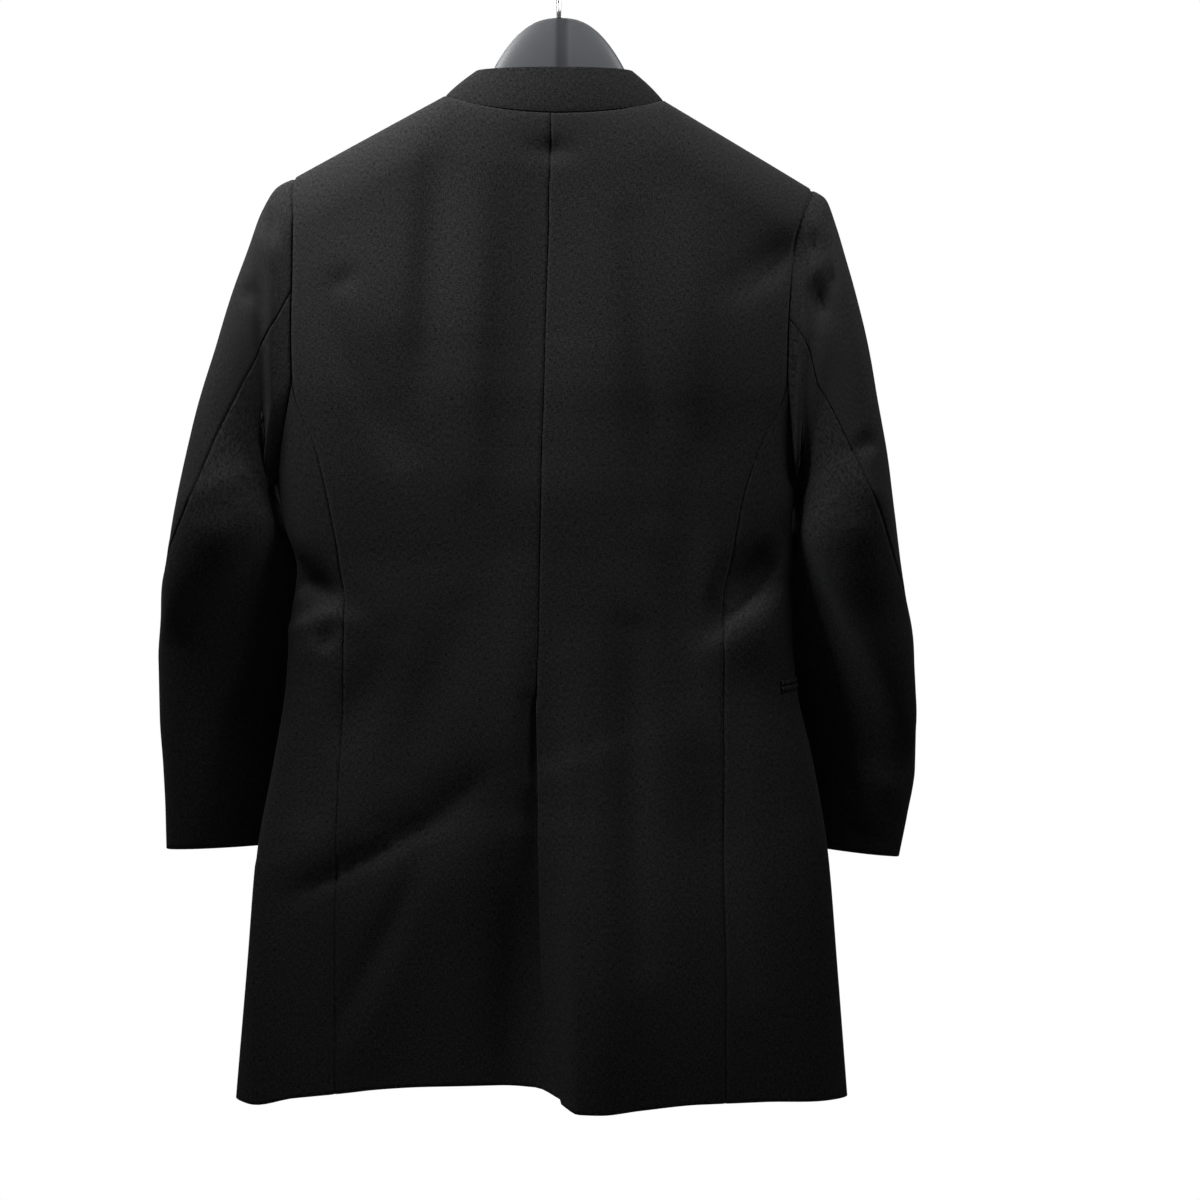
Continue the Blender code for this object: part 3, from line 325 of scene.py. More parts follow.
ARM_DIP_REACH = 60.0
HEAD_SIDE = 30.0            # the head is deepest up to here, and ends past its fade
HEAD_FADE = 70.0
FLUTE_X = -3.0
FLUTE_HALF = 5.0
FLUTE_EDGE = 3.0            # the flute runs out towards the head's own outline

# Camera and lights, in metres. 1200 pixels across cover 1.05 m at the jacket's
# middle, seen from 2 m.
CAMERA = (-0.036, 2.0, -0.580)
CAMERA_AIM = (-0.036, 0.0, -0.580)
SENSOR = 36.0
LENS = 68.57
FLOOR_SIDES = 96
# place, aim, size, the setting with the power, share of it, and spread in degrees
LIGHTS = {
    "left_key_light": ((0.55, 0.26, 0.26), (0.05, 0.0, -0.38), 0.25, "key_power", 1.0, 85.0),
    "right_key_light": ((-0.6, 0.26, 0.26), (-0.05, 0.0, -0.38), 0.25, "key_power", 0.5, 85.0),
    "fill_light": ((1.5, 1.4, -0.3), (0.0, 0.0, -0.6), 1.0, "fill_power", 1.0, 180.0),
    "front_light": ((0.2, -0.6, 0.62), (0.0, 0.0, -0.4), 0.6, "front_power", 1.0, 180.0),
}

# What the grids and joins are made to, in millimetres
BODY_CELL = (23.0, 40.0)    # a coarse cell of the backs and fronts, across and up
SIDE_CELL = 14.0
SLEEVE_CELL = (15.0, 22.0)
FINE_LINES = (0.5, 1.0, 1.7, 2.6, 4.0)  # off an edge that is divided more finely
FINE_REACH = 6.0            # the even lines begin beyond this
FOLD_CREST = 6.0            # over which the two widths of a fold run into each other
FOLD_ENDS = 0.35            # of a fold's height that is left at its ends
SEEN = 2.5                  # how soon the creases of a side fade where it turns away
CREASE_FREE = 26.0          # the creases of the backs fade out below their upper edges
SLEEVE_CREASE_ROWS = 1.4    # over which the creases of a sleeve begin at the armhole
SLEEVE_OUTLINE = (0.3, 1.6) # they begin where it faces front or back, and grow from there
JOIN_REACH = 9.0            # how far from a seam two panels begin to agree
ARMHOLE_SEAM_WIDTH = 1.5    # times the width of the other seams
VENT_FADE = 10.0 / 34.0     # of a row, over which the centre seam opens into the vent
LAP_FADE = {"back": 22.0, "front": 20.0}    # over which the lower layer comes up again
UNDERLAY_END = 0.04         # of a column, from the centre seam
ALLOWANCE_COLUMNS = (-3, -6)            # of the panel that lies over an allowance
SEAM_FLAT = 3               # columns of the underlay that stay above the vent
NOSE = 0.45                 # how round a free edge is, as a share of the wall
COLLAR_SEAM = (0.4, 2.0)    # depth and width
JET_WALL = 0.0004           # metres


# ------------------------------------------------------------------- helpers
def read(rows, column, at, places=None):
    """Smooth values of a table's column at places along its first column."""
    if places is None:
        places = [row[0] for row in rows]
    places = np.array(places, float)
    values = np.array([getattr(row, column) for row in rows], float)
    steps = np.diff(places)
    slopes = np.diff(values) / steps
    before, after = slopes[:-1], slopes[1:]
    total = np.where(before * after > 0, before + after, 1.0)
    inner = np.where(before * after > 0, 2 * before * after / total, 0.0)
    tangents = np.concatenate([slopes[:1], inner, slopes[-1:]])
    at = np.clip(at, places[0], places[-1])
    index = np.clip(np.searchsorted(places, at, "right") - 1, 0, len(steps) - 1)
    t = (at - places[index]) / steps[index]
    start = values[index] * (1 + 2 * t) * (1 - t) ** 2 + values[index + 1] * t * t * (3 - 2 * t)
    bend = tangents[index] * t * (1 - t) ** 2 - tangents[index + 1] * t * t * (1 - t)
    return start + steps[index] * bend


def blend(a, b, share):
    """Value between a and b."""
    return a + (b - a) * share


def ease(share):
    """0 below 0, 1 above 1, and a smooth rise between them."""
    share = np.clip(share, 0.0, 1.0)
    return share * share * (3 - 2 * share)


def signed_power(base, power):
    """Power of a number that keeps its sign."""
    return np.copysign(np.abs(base) ** power, base)


def spots(x, y, z):
    """Points from their three coordinates."""
    return np.stack(np.broadcast_arrays(x, y, z), axis=-1)


def read_line(at, places, line):
    """Points or directions of a line, read at other places along it."""
    return np.stack([np.interp(at, places, line[:, k]) for k in range(3)], axis=-1)


def unit(vectors):
    """Vectors of length one."""
    return vectors / np.maximum(np.linalg.norm(vectors, axis=-1, keepdims=True), 1e-9)


def relief(folds, x, z):
    """Height of all the folds of a table at places seen from behind or in front."""
    total = np.zeros_like(x)
    for fold in folds:
        along_x, along_z = fold.x1 - fold.x0, fold.z1 - fold.z0
        away_x, away_z = x - fold.x0, z - fold.z0
        length = along_x ** 2 + along_z ** 2
        share = np.clip((away_x * along_x + away_z * along_z) / length, 0.0, 1.0)
        distance = np.hypot(away_x - share * along_x, away_z - share * along_z)
        across = (along_x * away_z - along_z * away_x) * math.copysign(1.0, along_x)
        side = ease(0.5 + across / math.sqrt(length) / FOLD_CREST)
        width = blend(fold.below, fold.above, side)
        taper = blend(FOLD_ENDS, 1.0, np.sin(math.pi * share))
        total += fold.height * taper * np.exp(-((distance / width) ** 2))
    return total


# -------------------------------------------------------------- body surface
def shoulder_line(x, side):
    """Height of a shoulder seam at x, carried on beyond both of its ends."""
    neck, shoulder = NECK[side], SHOULDER[side]
    return blend(neck.z, shoulder.z, (x - neck.x) / (shoulder.x - neck.x))


def top_edge(x, back):
    """Depth and height of the upper edge of the body at x: neck or shoulder."""
    reach = (x - NECK_MIDDLE) / NECK_HALF
    inner = np.clip(1 - reach * reach, 0.0, 1.0)
    dip = NECK_BACK_DIP if back else NECK_FRONT_DIP
    depth = NECK_BACK_DEPTH if back else -NECK_FRONT_DEPTH
    neck = blend(NECK[-1].z, NECK[1].z, (reach + 1) / 2) - dip * inner ** NECK_CURVE
    height = np.where(reach <= -1, shoulder_line(x, -1), neck)
    return depth * np.sqrt(inner), np.where(reach >= 1, shoulder_line(x, 1), height)


def ring_span(z):
    """Middle and half width of the body's ring at a height."""
    left, right = read(RINGS, "left", z), read(RINGS, "right", z)
    return (left + right) / 2, (left - right) / 2


def body_points(cosine, sine, z, back):
    """Points of the body's outer face at places round its ring."""
    middle, half = ring_span(z)
    power = 2 / ROUNDNESS
    x = middle + half * signed_power(cosine, power)
    y = read(RINGS, "back" if back else "front", z) * signed_power(sine, power)
    edge_y, edge_z = top_edge(x, back)
    drop = np.clip((edge_z - z) / SHOULDER_ROUND, 0.0, 1.0)
    y = blend(edge_y, y, np.sqrt(1 - (1 - drop) ** 2))
    hem = HEM_BACK if back else HEM_FRONT
    sway = ease((SWAY_TOP - z) / (SWAY_TOP - HEM))
    folds = BACK_FOLDS if back else FRONT_FOLDS
    # the folds fade out towards both sides of the ring
    lift = relief(folds, x, z) * np.minimum(1.0, np.abs(sine) * 2)
    y = y + read(hem, "sway", x) * sway + (lift if back else -lift)
    dip = read(hem, "dip", x) * ease((DROP_TOP - z) / (DROP_TOP - HEM))
    return spots(x, y, z - dip)


def ring_place(x, z, back):
    """Cosine and sine of the place on the ring that lies over x."""
    middle, half = ring_span(z)
    cosine = signed_power(np.clip((x - middle) / half, -1.0, 1.0), ROUNDNESS / 2)
    sine = np.sqrt(np.maximum(0.0, 1 - cosine * cosine))
    return cosine, sine if back else -sine


def body_at(x, z, back):
    """Points of the body's outer face over x, on its back or its front."""
    cosine, sine = ring_place(x, z, back)
    return body_points(cosine, sine, z, back)


def outer_edge(side, z, back):
    """x of the outer edge of a back or front panel."""
    edge = read(SEAMS, "left" if side > 0 else "right", z)
    return edge if back else edge + side * read(SEAMS, "fore", z)


def column_table(side, back, z, share):
    """x of the coarse columns of a panel, one line for each row."""
    neck, shoulder = NECK[side], SHOULDER[side]
    centre_top = float(read(SEAMS, "centre", NECK_BACK_Z)) if back else CENTRE_FRONT
    level = blend(np.minimum(z, ARMHOLE_JOIN), NECK_BACK_Z, share)
    centre = read(SEAMS, "centre", level) if back else np.full_like(z, CENTRE_FRONT)
    outer = outer_edge(side, z, back)
    neck_share = (neck.x - centre_top) / (shoulder.x - centre_top)
    neck_x = blend(centre, outer, neck_share)
    if back:
        places, inner, steps = [centre], centre, NECK_COLUMNS
    else:
        places = [centre - side * LAP, centre + side * LAP]
        inner, steps = centre + side * LAP, NECK_COLUMNS - 1
    first = np.abs(inner - NECK_MIDDLE) / abs(neck.x - NECK_MIDDLE)
    start = np.arcsin(first)
    for index in range(1, steps + 1):
        even = blend(first, 1.0, index / steps)
        turned = np.sin(blend(start, math.pi / 2, index / steps))
        spread = (blend(even, turned, share) - first) / (1 - first)
        places.append(blend(inner, neck_x, spread))
    for index in range(1, SHOULDER_COLUMNS + 1):
        places.append(blend(neck_x, outer, index / SHOULDER_COLUMNS))
    return np.stack(places, axis=1)


def row_places(row):
    """Level of a row, and its share of the way from the join up to the shoulder."""
    level = np.interp(row, range(len(LEVELS)), LEVELS)
    step = np.maximum(0.0, row - JOIN_ROW)
    share = 1 - np.maximum(0.0, 1 - step / ARMHOLE_STEPS) ** ARMHOLE_BUNCHING
    return level, share


def panel_surface(side, back, columns, rows):
    """Points of a back or front panel at fractions of its coarse grid."""
    level, share = row_places(rows)
    z = np.where(share > 0, blend(ARMHOLE_JOIN, SHOULDER[side].z, share), level)
    lines = column_table(side, back, z, share)
    x = np.stack([np.interp(columns, range(len(line)), line) for line in lines])
    height = blend(level[:, None], top_edge(x, back)[1], share[:, None])
    return body_at(x, height, back)


def side_surface(side, columns, rows):
    """Points of a side panel at fractions of its coarse grid."""
    level = np.interp(rows, range(len(LEVELS)), LEVELS)[:, None]
    share = 1 - columns[None, :] / SIDE_HALF
    rim = blend(UNDERARM, ARMHOLE_JOIN, share ** 2)
    climb = np.clip((level - SIDE_SQUEEZE) / (ARMHOLE_JOIN - SIDE_SQUEEZE), 0.0, 1.0)
    z = np.where(level > SIDE_SQUEEZE, blend(SIDE_SQUEEZE, rim, climb), level)
    points = np.zeros((len(rows), len(columns), 3))
    for back in (True, False):
        cosine, sine = ring_place(outer_edge(side, level, back), level, back)
        angle = np.arctan2(np.abs(sine), cosine)
        reach = angle if side > 0 else math.pi - angle
        turned = reach * share
        place = turned if side > 0 else math.pi - turned
        half = body_points(np.cos(place), np.sin(place), z, back)
        chosen = (share >= 0) if back else (share < 0)
        points = np.where(np.broadcast_to(chosen, z.shape)[..., None], half, points)
    return points


# ------------------------------------------------------------------- sleeves
def loop_points(loops, rows, columns):
    """Points of a sleeve's own ellipses at fractions of its coarse grid."""
    mid, lean, deep, _, out_x, out_z, in_x, in_z, seam = (
        read(loops, name, rows, range(len(loops)))[:, None] for name in Loop._fields)
    outer = spots(out_x, mid + lean, out_z)
    middle = spots((out_x + in_x) / 2, mid, (out_z + in_z) / 2)
    under = blend(seam, FRONT_SLEEVE_SEAM, columns / UNDER_COLUMNS)
    top = blend(FRONT_SLEEVE_SEAM, seam + 360, (columns - UNDER_COLUMNS) / TOP_COLUMNS)
    degrees = np.where(columns[None, :] <= UNDER_COLUMNS, under, top)
    angle = np.radians(degrees)[..., None]
    points = middle + (outer - middle) * np.cos(angle) + spots(0.0, deep, 0.0) * np.sin(angle)
    return points, middle, degrees


def sleeve_bulge(rows, degrees):
    """Height of the broad folds round a sleeve, which lie between -45 and 315 degrees."""
    turned = np.where(degrees < 315, degrees, degrees - 360)
    total = np.zeros_like(turned)
    for fold in SLEEVE_FOLDS:
        share = (turned - fold.angle0) / (fold.angle1 - fold.angle0)
        inside = (share >= 0) & (share <= 1)
        taper = np.where(inside, np.sin(math.pi * np.clip(share, 0.0, 1.0)), 0.0)
        middle = blend(fold.row0, fold.row1, share)
        total += fold.height * taper * np.exp(-(((rows[:, None] - middle) / fold.width) ** 2))
    return total


def sleeve_surface(loops, rim, columns, rows):
    """Points of part of a sleeve; rim holds the armhole's own points at its columns."""
    points, middle, degrees = loop_points(loops, rows, columns)
    own = rim - loop_points(loops, np.zeros(1), columns)[0][0]
    free = read(loops, "free", rows, range(len(loops)))[:, None, None]
    points = points + own[None] * (1 - free)
    bulge = sleeve_bulge(rows, degrees) * ease(rows)[:, None]
    return points + unit(points - middle) * bulge[..., None]


# -------------------------------------------------------------------- collar
def collar_surface(angles, shares):
    """Points of the collar, round the neck and up from its seam."""
    reach, turn = np.cos(angles), np.abs(np.sin(angles))
    back = np.sin(angles) >= 0
    x = NECK_MIDDLE + NECK_HALF * reach
    behind, before = top_edge(x, True), top_edge(x, False)
    low = spots(x, np.where(back, behind[0], before[0]), np.where(back, behind[1], before[1]))
    top_z = np.where(back, COLLAR_BACK_TOP, COLLAR_FRONT_TOP)
    top = spots(NECK_MIDDLE + COLLAR_TOP_HALF * reach,
                np.where(back, COLLAR_TOP_BACK, -COLLAR_TOP_FRONT) * turn,
                blend(COLLAR_SIDE_TOP, top_z, turn ** COLLAR_FALL))
    outward = unit(top * np.array([1.0, 1.0, 0.0]))
    share = shares[:, None, None]
    return blend(low[None], top[None], share) + outward[None] * COLLAR_SWELL * np.sin(math.pi * share)


# --------------------------------------------------------------- cloth pieces
def fine_places(count, cells, graded, width):
    """Fractions of a coarse grid, closer together at the named ends.

    Width is what a coarse cell measures, in millimetres.
    """
    places = set(np.round(np.linspace(0, count, count * cells + 1), 6))
    for end in graded:
        start = 0.0 if end == "first" else float(count)
        gap = FINE_REACH / width
        places = {p for p in places if abs(p - start) > gap or abs(p - start) < 1e-6}
        places |= {round(abs(start - line / width), 6) for line in FINE_LINES}
    return np.array(sorted(places))


def run_length(points, axis):
    """Length along the rows or columns of a grid."""
    steps = np.linalg.norm(np.diff(points, axis=axis), axis=-1)
    start = np.zeros_like(np.take(steps, [0], axis=axis))
    return np.cumsum(np.concatenate([start, steps], axis=axis), axis=axis)


# The four edges of a grid, each with the line next to it.
EDGES = {
    "first": (np.s_[:, 0], np.s_[:, 1]),
    "last": (np.s_[:, -1], np.s_[:, -2]),
    "low": (np.s_[0], np.s_[1]),
    "high": (np.s_[-1], np.s_[-2]),
}


class Panel:
    """A cloth piece on its way: a grid of outer points with what lies round it."""

    def __init__(self, name, points, flip, columns=None, rows=None):
        self.name = name
        self.points = points
        self.flip = flip
        self.columns = columns
        self.rows = rows
        self.sink = np.zeros(points.shape[:2])
        self.facing = None
        self.mask = None
        self.noses = {}
        self.trim = ()

    def normals(self):
        """Outward directions of the face as it is now, by way of its neighbours."""
        normals = np.cross(np.gradient(self.points, axis=1), np.gradient(self.points, axis=0))
        return unit(-normals if self.flip else normals)

    def settle(self):
        """Keep the outward directions as they are now, if none are kept yet."""
        if self.facing is None:
            self.facing = self.normals()

    def turn(self, target, share):
        """Turn the outward directions towards others by a share."""
        self.facing = unit(blend(self.facing, target, share[..., None]))

    def crease(self, back_folds, front_folds, hold=1.0):
        """Press the creases into the face, each from the side it is seen on."""
        normals = self.normals()
        x, z = self.points[..., 0], self.points[..., 2]
        behind = normals[..., 1] * SEEN
        height = relief(back_folds, x, z) * ease(behind) + relief(front_folds, x, z) * ease(-behind)
        self.points = self.points + normals * (height * hold)[..., None]

    def edge_distance(self, edge):
        """Length along the face from one of its four edges."""
        across, up = run_length(self.points, 1), run_length(self.points, 0)
        return {"first": across, "last": across[:, -1:] - across,
                "low": up, "high": up[-1:] - up}[edge]

    def near(self, edge):
        """One at an edge, and nothing where the reach of a join ends."""
        return 1 - ease(self.edge_distance(edge) / JOIN_REACH)

    def seam(self, edges, depth, width, where=1.0):
        """Sink the face towards the seams along some of its edges."""
        for edge in edges:
            sink = depth * np.exp(-((self.edge_distance(edge) / width) ** 2)) * where
            self.sink = np.maximum(self.sink, sink)

    def draw_back(self, gap):
        """Move the trimmed edges inwards along the face, to leave a hair's parting."""
        for edge in self.trim:
            start, inward = EDGES[edge]
            self.points[start] += unit(self.points[inward] - self.points[start]) * gap


def make_shell(panel, wall, material, uv_turn=0.0):
    """Closed mesh of a cloth piece, with a rounded nose along its free edges."""
    points = panel.points
    rows, columns = points.shape[:2]
    count = rows * columns
    outer = points - panel.facing * panel.sink[..., None]
    inner = outer - panel.facing * wall
    middle = slice(columns // 2, columns // 2 + 1)
    u, v = run_length(points, 1), run_length(points, 0)
    uv = np.stack([u - u[:, middle], np.broadcast_to(v[:, middle], v.shape)], axis=-1)
    uv = uv.reshape(-1, 2) * MM
    index = np.arange(count).reshape(rows, columns)
    quads = np.stack([index[:-1, :-1], index[:-1, 1:], index[1:, 1:], index[1:, :-1]], -1)
    quads = quads.reshape(-1, 4) if panel.mask is None else quads[panel.mask]
    if panel.flip:
        quads = quads[:, ::-1]
    rim = {}
    for quad in quads.tolist():
        for start, end in zip(quad, quad[1:] + quad[:1]):
            if rim.pop((end, start), None) is None:
                rim[(start, end)] = True
    rim_verts = sorted({vert for edge in rim for vert in edge})
    nose = {vert: 2 * count + place for place, vert in enumerate(rim_verts)}
    push = np.zeros((rows, columns, 3))
    for edge, weight in panel.noses.items():
        start, inward = EDGES[edge]
        push[start] -= unit(points[inward] - points[start]) * weight
    tips = ((outer + inner) / 2 + push * wall * NOSE).reshape(-1, 3)[rim_verts]
    faces = quads.tolist() + (quads[:, ::-1] + count).tolist()
    for start, end in rim:
        faces.append([end, start, nose[start], nose[end]])
        faces.append([nose[end], nose[start], start + count, end + count])
    used = np.unique(np.array(faces))
    renumber = np.full(2 * count + len(rim_verts), -1)
    renumber[used] = np.arange(len(used))
    verts = np.concatenate([outer.reshape(-1, 3), inner.reshape(-1, 3), tips]) * MM
    mesh = bpy.data.meshes.new(panel.name)
    mesh.from_pydata(verts[used].tolist(), [], renumber[np.array(faces)].tolist())
    turn = math.radians(uv_turn)
    uv = np.concatenate([uv, uv, uv[rim_verts]])[used] @ np.array(
        [[math.cos(turn), math.sin(turn)], [-math.sin(turn), math.cos(turn)]])
    corners = np.zeros(len(mesh.loops), int)
    mesh.loops.foreach_get("vertex_index", corners)
    mesh.uv_layers.new(name="cloth").data.foreach_set("uv", uv[corners].ravel())
    mesh.shade_smooth()
    mesh.materials.append(material)
    return add_piece(panel.name, mesh)


def add_piece(name, mesh):
    """A scene object at the origin with a finished mesh."""
    mesh.name = name
    piece = bpy.data.objects.new(name, mesh)
    bpy.context.scene.collection.objects.link(piece)
    return piece


def dress(piece, slot_name, *nodes):
    """Let a finished piece ride on the jacket in place of its solids."""
    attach(piece, "root")
    if nodes:
        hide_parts(*nodes)


# ----------------------------------------------------------------- materials
def linear(code):
    """Linear colour of an sRGB hex code, with an alpha of one."""
    values = [int(code[i:i + 2], 16) / 255 for i in (0, 2, 4)]
    return *(v / 12.92 if v <= 0.04045 else ((v + 0.055) / 1.055) ** 2.4 for v in values), 1.0


def new_material(name):
    """An empty node material with its shader and output."""
    material = bpy.data.materials.new(name)
    material.use_nodes = True
    return material, material.node_tree, material.node_tree.nodes["Principled BSDF"]


def feed(tree, made, numbered=None, **named):
    """Link or set the inputs of a node, by their numbers or by their names."""
    inputs = {name.replace("_", " "): value for name, value in named.items()}
    for key, value in {**(numbered or {}), **inputs}.items():
        if isinstance(value, bpy.types.NodeSocket):
            tree.links.new(value, made.inputs[key])
        else:
            made.inputs[key].default_value = value
    return made


def node(tree, kind, settings=None, numbered=None, **named):
    """Add a node with its settings and its inputs."""
    made = tree.nodes.new(kind)
    for key, value in (settings or {}).items():
        setattr(made, key, value)
    return feed(tree, made, numbered, **named)


STATE = {}


def once(key, make, *given):
    """What is kept under a key, made when it is first asked for."""
    if key not in STATE:
        STATE[key] = make(*given)
    return STATE[key]


def wool_material(cloth):
    """Worsted wool: a matt, near black twill with a faint bloom of raised hairs.

    Threads of the real cloth are 0.4 mm apart, which is finer than a pixel, so
    the rib is drawn 1.1 mm apart and the slubs 1.0 mm thick.
    """
    material, tree, shader = new_material("black_worsted_wool")
    place = node(tree, "ShaderNodeUVMap", {"uv_map": "cloth"}).outputs["UV"]
    slubs = []
    for scale in ((1 / 0.0030, 1 / 0.0010, 1), (1 / 0.0010, 1 / 0.0036, 1)):
        way = node(tree, "ShaderNodeMapping", Vector=place, Scale=scale).outputs[0]
        slub = node(tree, "ShaderNodeTexNoise", Vector=way, Scale=1.0, Detail=2.0)
        slubs.append(slub.outputs["Fac"])
    rib = node(tree, "ShaderNodeMapping", Vector=place, Rotation=(0, 0, math.radians(63)),
               Scale=(1 / 0.0011, 1 / 0.0011, 1))
    twill = node(tree, "ShaderNodeTexWave", {"wave_type": "BANDS", "bands_direction": "X"},
                 Vector=rib.outputs[0], Scale=0.314, Distortion=0.6, Detail=1.0)
    both = node(tree, "ShaderNodeMath", {"operation": "ADD"}, dict(enumerate(slubs)))
    threads = node(tree, "ShaderNodeMath", {"operation": "MULTIPLY_ADD"},
                   {0: twill.outputs["Fac"], 1: 0.1, 2: both.outputs[0]}).outputs[0]
    tone = node(tree, "ShaderNodeMapRange", Value=threads,
                From_Min=0.66, From_Max=1.46, To_Min=0.0, To_Max=1.0)
    cloth_tone = node(tree, "ShaderNodeMix", {"data_type": "RGBA"}, Factor=tone.outputs[0],
                      A=linear(cloth.wool_dark), B=linear(cloth.wool_light))
    # the cloth is a little smoother in places, some 110 mm across
    broad = node(tree, "ShaderNodeTexNoise", Scale=9.0, Detail=3.0,
                 Vector=node(tree, "ShaderNodeTexCoord").outputs["Object"])
    rough = node(tree, "ShaderNodeMapRange", Value=broad.outputs["Fac"],
                 From_Min=0.3, From_Max=0.7, To_Min=0.72, To_Max=0.86)
    bump = node(tree, "ShaderNodeBump", Height=threads, Strength=0.25, Distance=0.0004)
    feed(tree, shader, Base_Color=cloth_tone.outputs["Result"], Roughness=rough.outputs[0],
         Normal=bump.outputs[0], IOR=1.45, Specular_IOR_Level=0.0, Sheen_Weight=cloth.sheen,
         Sheen_Roughness=0.45, Sheen_Tint=(0.8, 0.85, 0.9, 1))
    return material


def clouded(name, dark, light, clouds, roughness, **look):
    """A material of two tones that run into each other in clouds of a real size.

    Roughness is one number, or the two between which it runs with the clouds.
    Gives the material, its tree, its shader, its coordinates and its tone.
    """
    material, tree, shader = new_material(name)
    place = node(tree, "ShaderNodeTexCoord").outputs["Object"]
    cloud = node(tree, "ShaderNodeTexNoise", Vector=place, **clouds).outputs["Fac"]
    tone = node(tree, "ShaderNodeMix", {"data_type": "RGBA"}, Factor=cloud,
                A=linear(dark), B=linear(light)).outputs["Result"]
    if isinstance(roughness, tuple):
        roughness = node(tree, "ShaderNodeMapRange", Value=cloud, To_Min=roughness[0],
                         To_Max=roughness[1]).outputs[0]
    feed(tree, shader, Base_Color=tone, Roughness=roughness, **look)
    return material, tree, shader, place, tone


def thread_material(cloth):
    """Polyester sewing thread: smooth, twisted, and a little glossier than wool."""
    # ply of the thread, 0.5 mm from turn to turn
    return clouded("black_polyester_thread", cloth.thread_dark, cloth.thread_light,
                   {"Scale": 2000.0, "Detail": 1.0}, 0.6, Specular_IOR_Level=0.1)[0]


def button_material(buttons):
    """Urea resin, turned and tumbled: near black with faint horn-like clouds."""
    # clouds of the resin, some 6 mm across
    return clouded("black_urea_button", buttons.button_dark, buttons.button_light,
                   {"Scale": 160.0, "Detail": 4.0, "Distortion": 1.2}, (0.32, 0.46),
                   IOR=1.56, Specular_IOR_Level=0.25)[0]


def plastic_material(hanger):
    """Injection-moulded polystyrene: dark grey with a satin, finely eroded skin."""
    # flow of the melt, some 45 mm across
    material, tree, shader, place, tone = clouded(
        "dark_grey_polystyrene", hanger.plastic_dark, hanger.plastic_light,
        {"Scale": 22.0, "Detail": 2.0}, (0.5, 0.62), IOR=1.59, Specular_IOR_Level=0.15)
    # painted shade: the colour darkens along the flute of the head, 3 mm right of its middle, as shade
    # gathering in the groove would
    across = node(tree, "ShaderNodeSeparateXYZ", Vector=place).outputs["X"]
    off = node(tree, "ShaderNodeMath", {"operation": "ADD"}, {0: across, 1: 0.003})
    away = node(tree, "ShaderNodeMath", {"operation": "ABSOLUTE"}, {0: off.outputs[0]})
    # how far the tone is darkened towards the flute: painted shade
    flute = node(tree, "ShaderNodeMapRange", {"interpolation_type": "SMOOTHSTEP"},
                 Value=away.outputs[0], From_Min=0.003, From_Max=0.0075, To_Min=0.35, To_Max=1.0)
    # the plastic's tone scaled down near the flute: painted shade
    painted_flute_shade = node(tree, "ShaderNodeVectorMath", {"operation": "SCALE"},
                  Vector=tone, Scale=flute.outputs[0])
    # eroded skin of the mould, 0.8 mm from pit to pit
    pits = node(tree, "ShaderNodeTexNoise", Vector=place, Scale=1250.0, Detail=2.0)
    bump = node(tree, "ShaderNodeBump", Height=pits.outputs["Fac"], Strength=0.12, Distance=0.0002)
    feed(tree, shader, Base_Color=painted_flute_shade.outputs["Vector"], Normal=bump.outputs[0])
    return material


def steel_material(hanger):
    """Drawn steel wire, zinc plated: bright, with fine lines from the die."""
    # spangle of the zinc, some 11 mm across
    material, tree, shader, place, _ = clouded(
        "plated_steel_wire", hanger.steel_dark, hanger.steel_light,
        {"Scale": 90.0, "Detail": 2.0}, 0.25, Metallic=1.0)
    # lines of the die, 0.4 mm apart
    lines = node(tree, "ShaderNodeTexNoise", Vector=place, Scale=2500.0, Detail=1.0)
    rough = node(tree, "ShaderNodeMapRange", Value=lines.outputs["Fac"], To_Min=0.18, To_Max=0.32)
    feed(tree, shader, Roughness=rough.outputs[0])
    return material


def floor_material(stage):
    """Painted board: pale, matt, with hardly any unevenness, 0.7 m from cloud to cloud."""
    return clouded("pale_painted_board", stage.floor_dark, stage.floor_light,
                   {"Scale": 1.5, "Detail": 2.0}, 0.9)[0]


# ---------------------------------------------------------------- the body
SIDES = {1: "left", -1: "right"}
GRADED = ("first", "last")


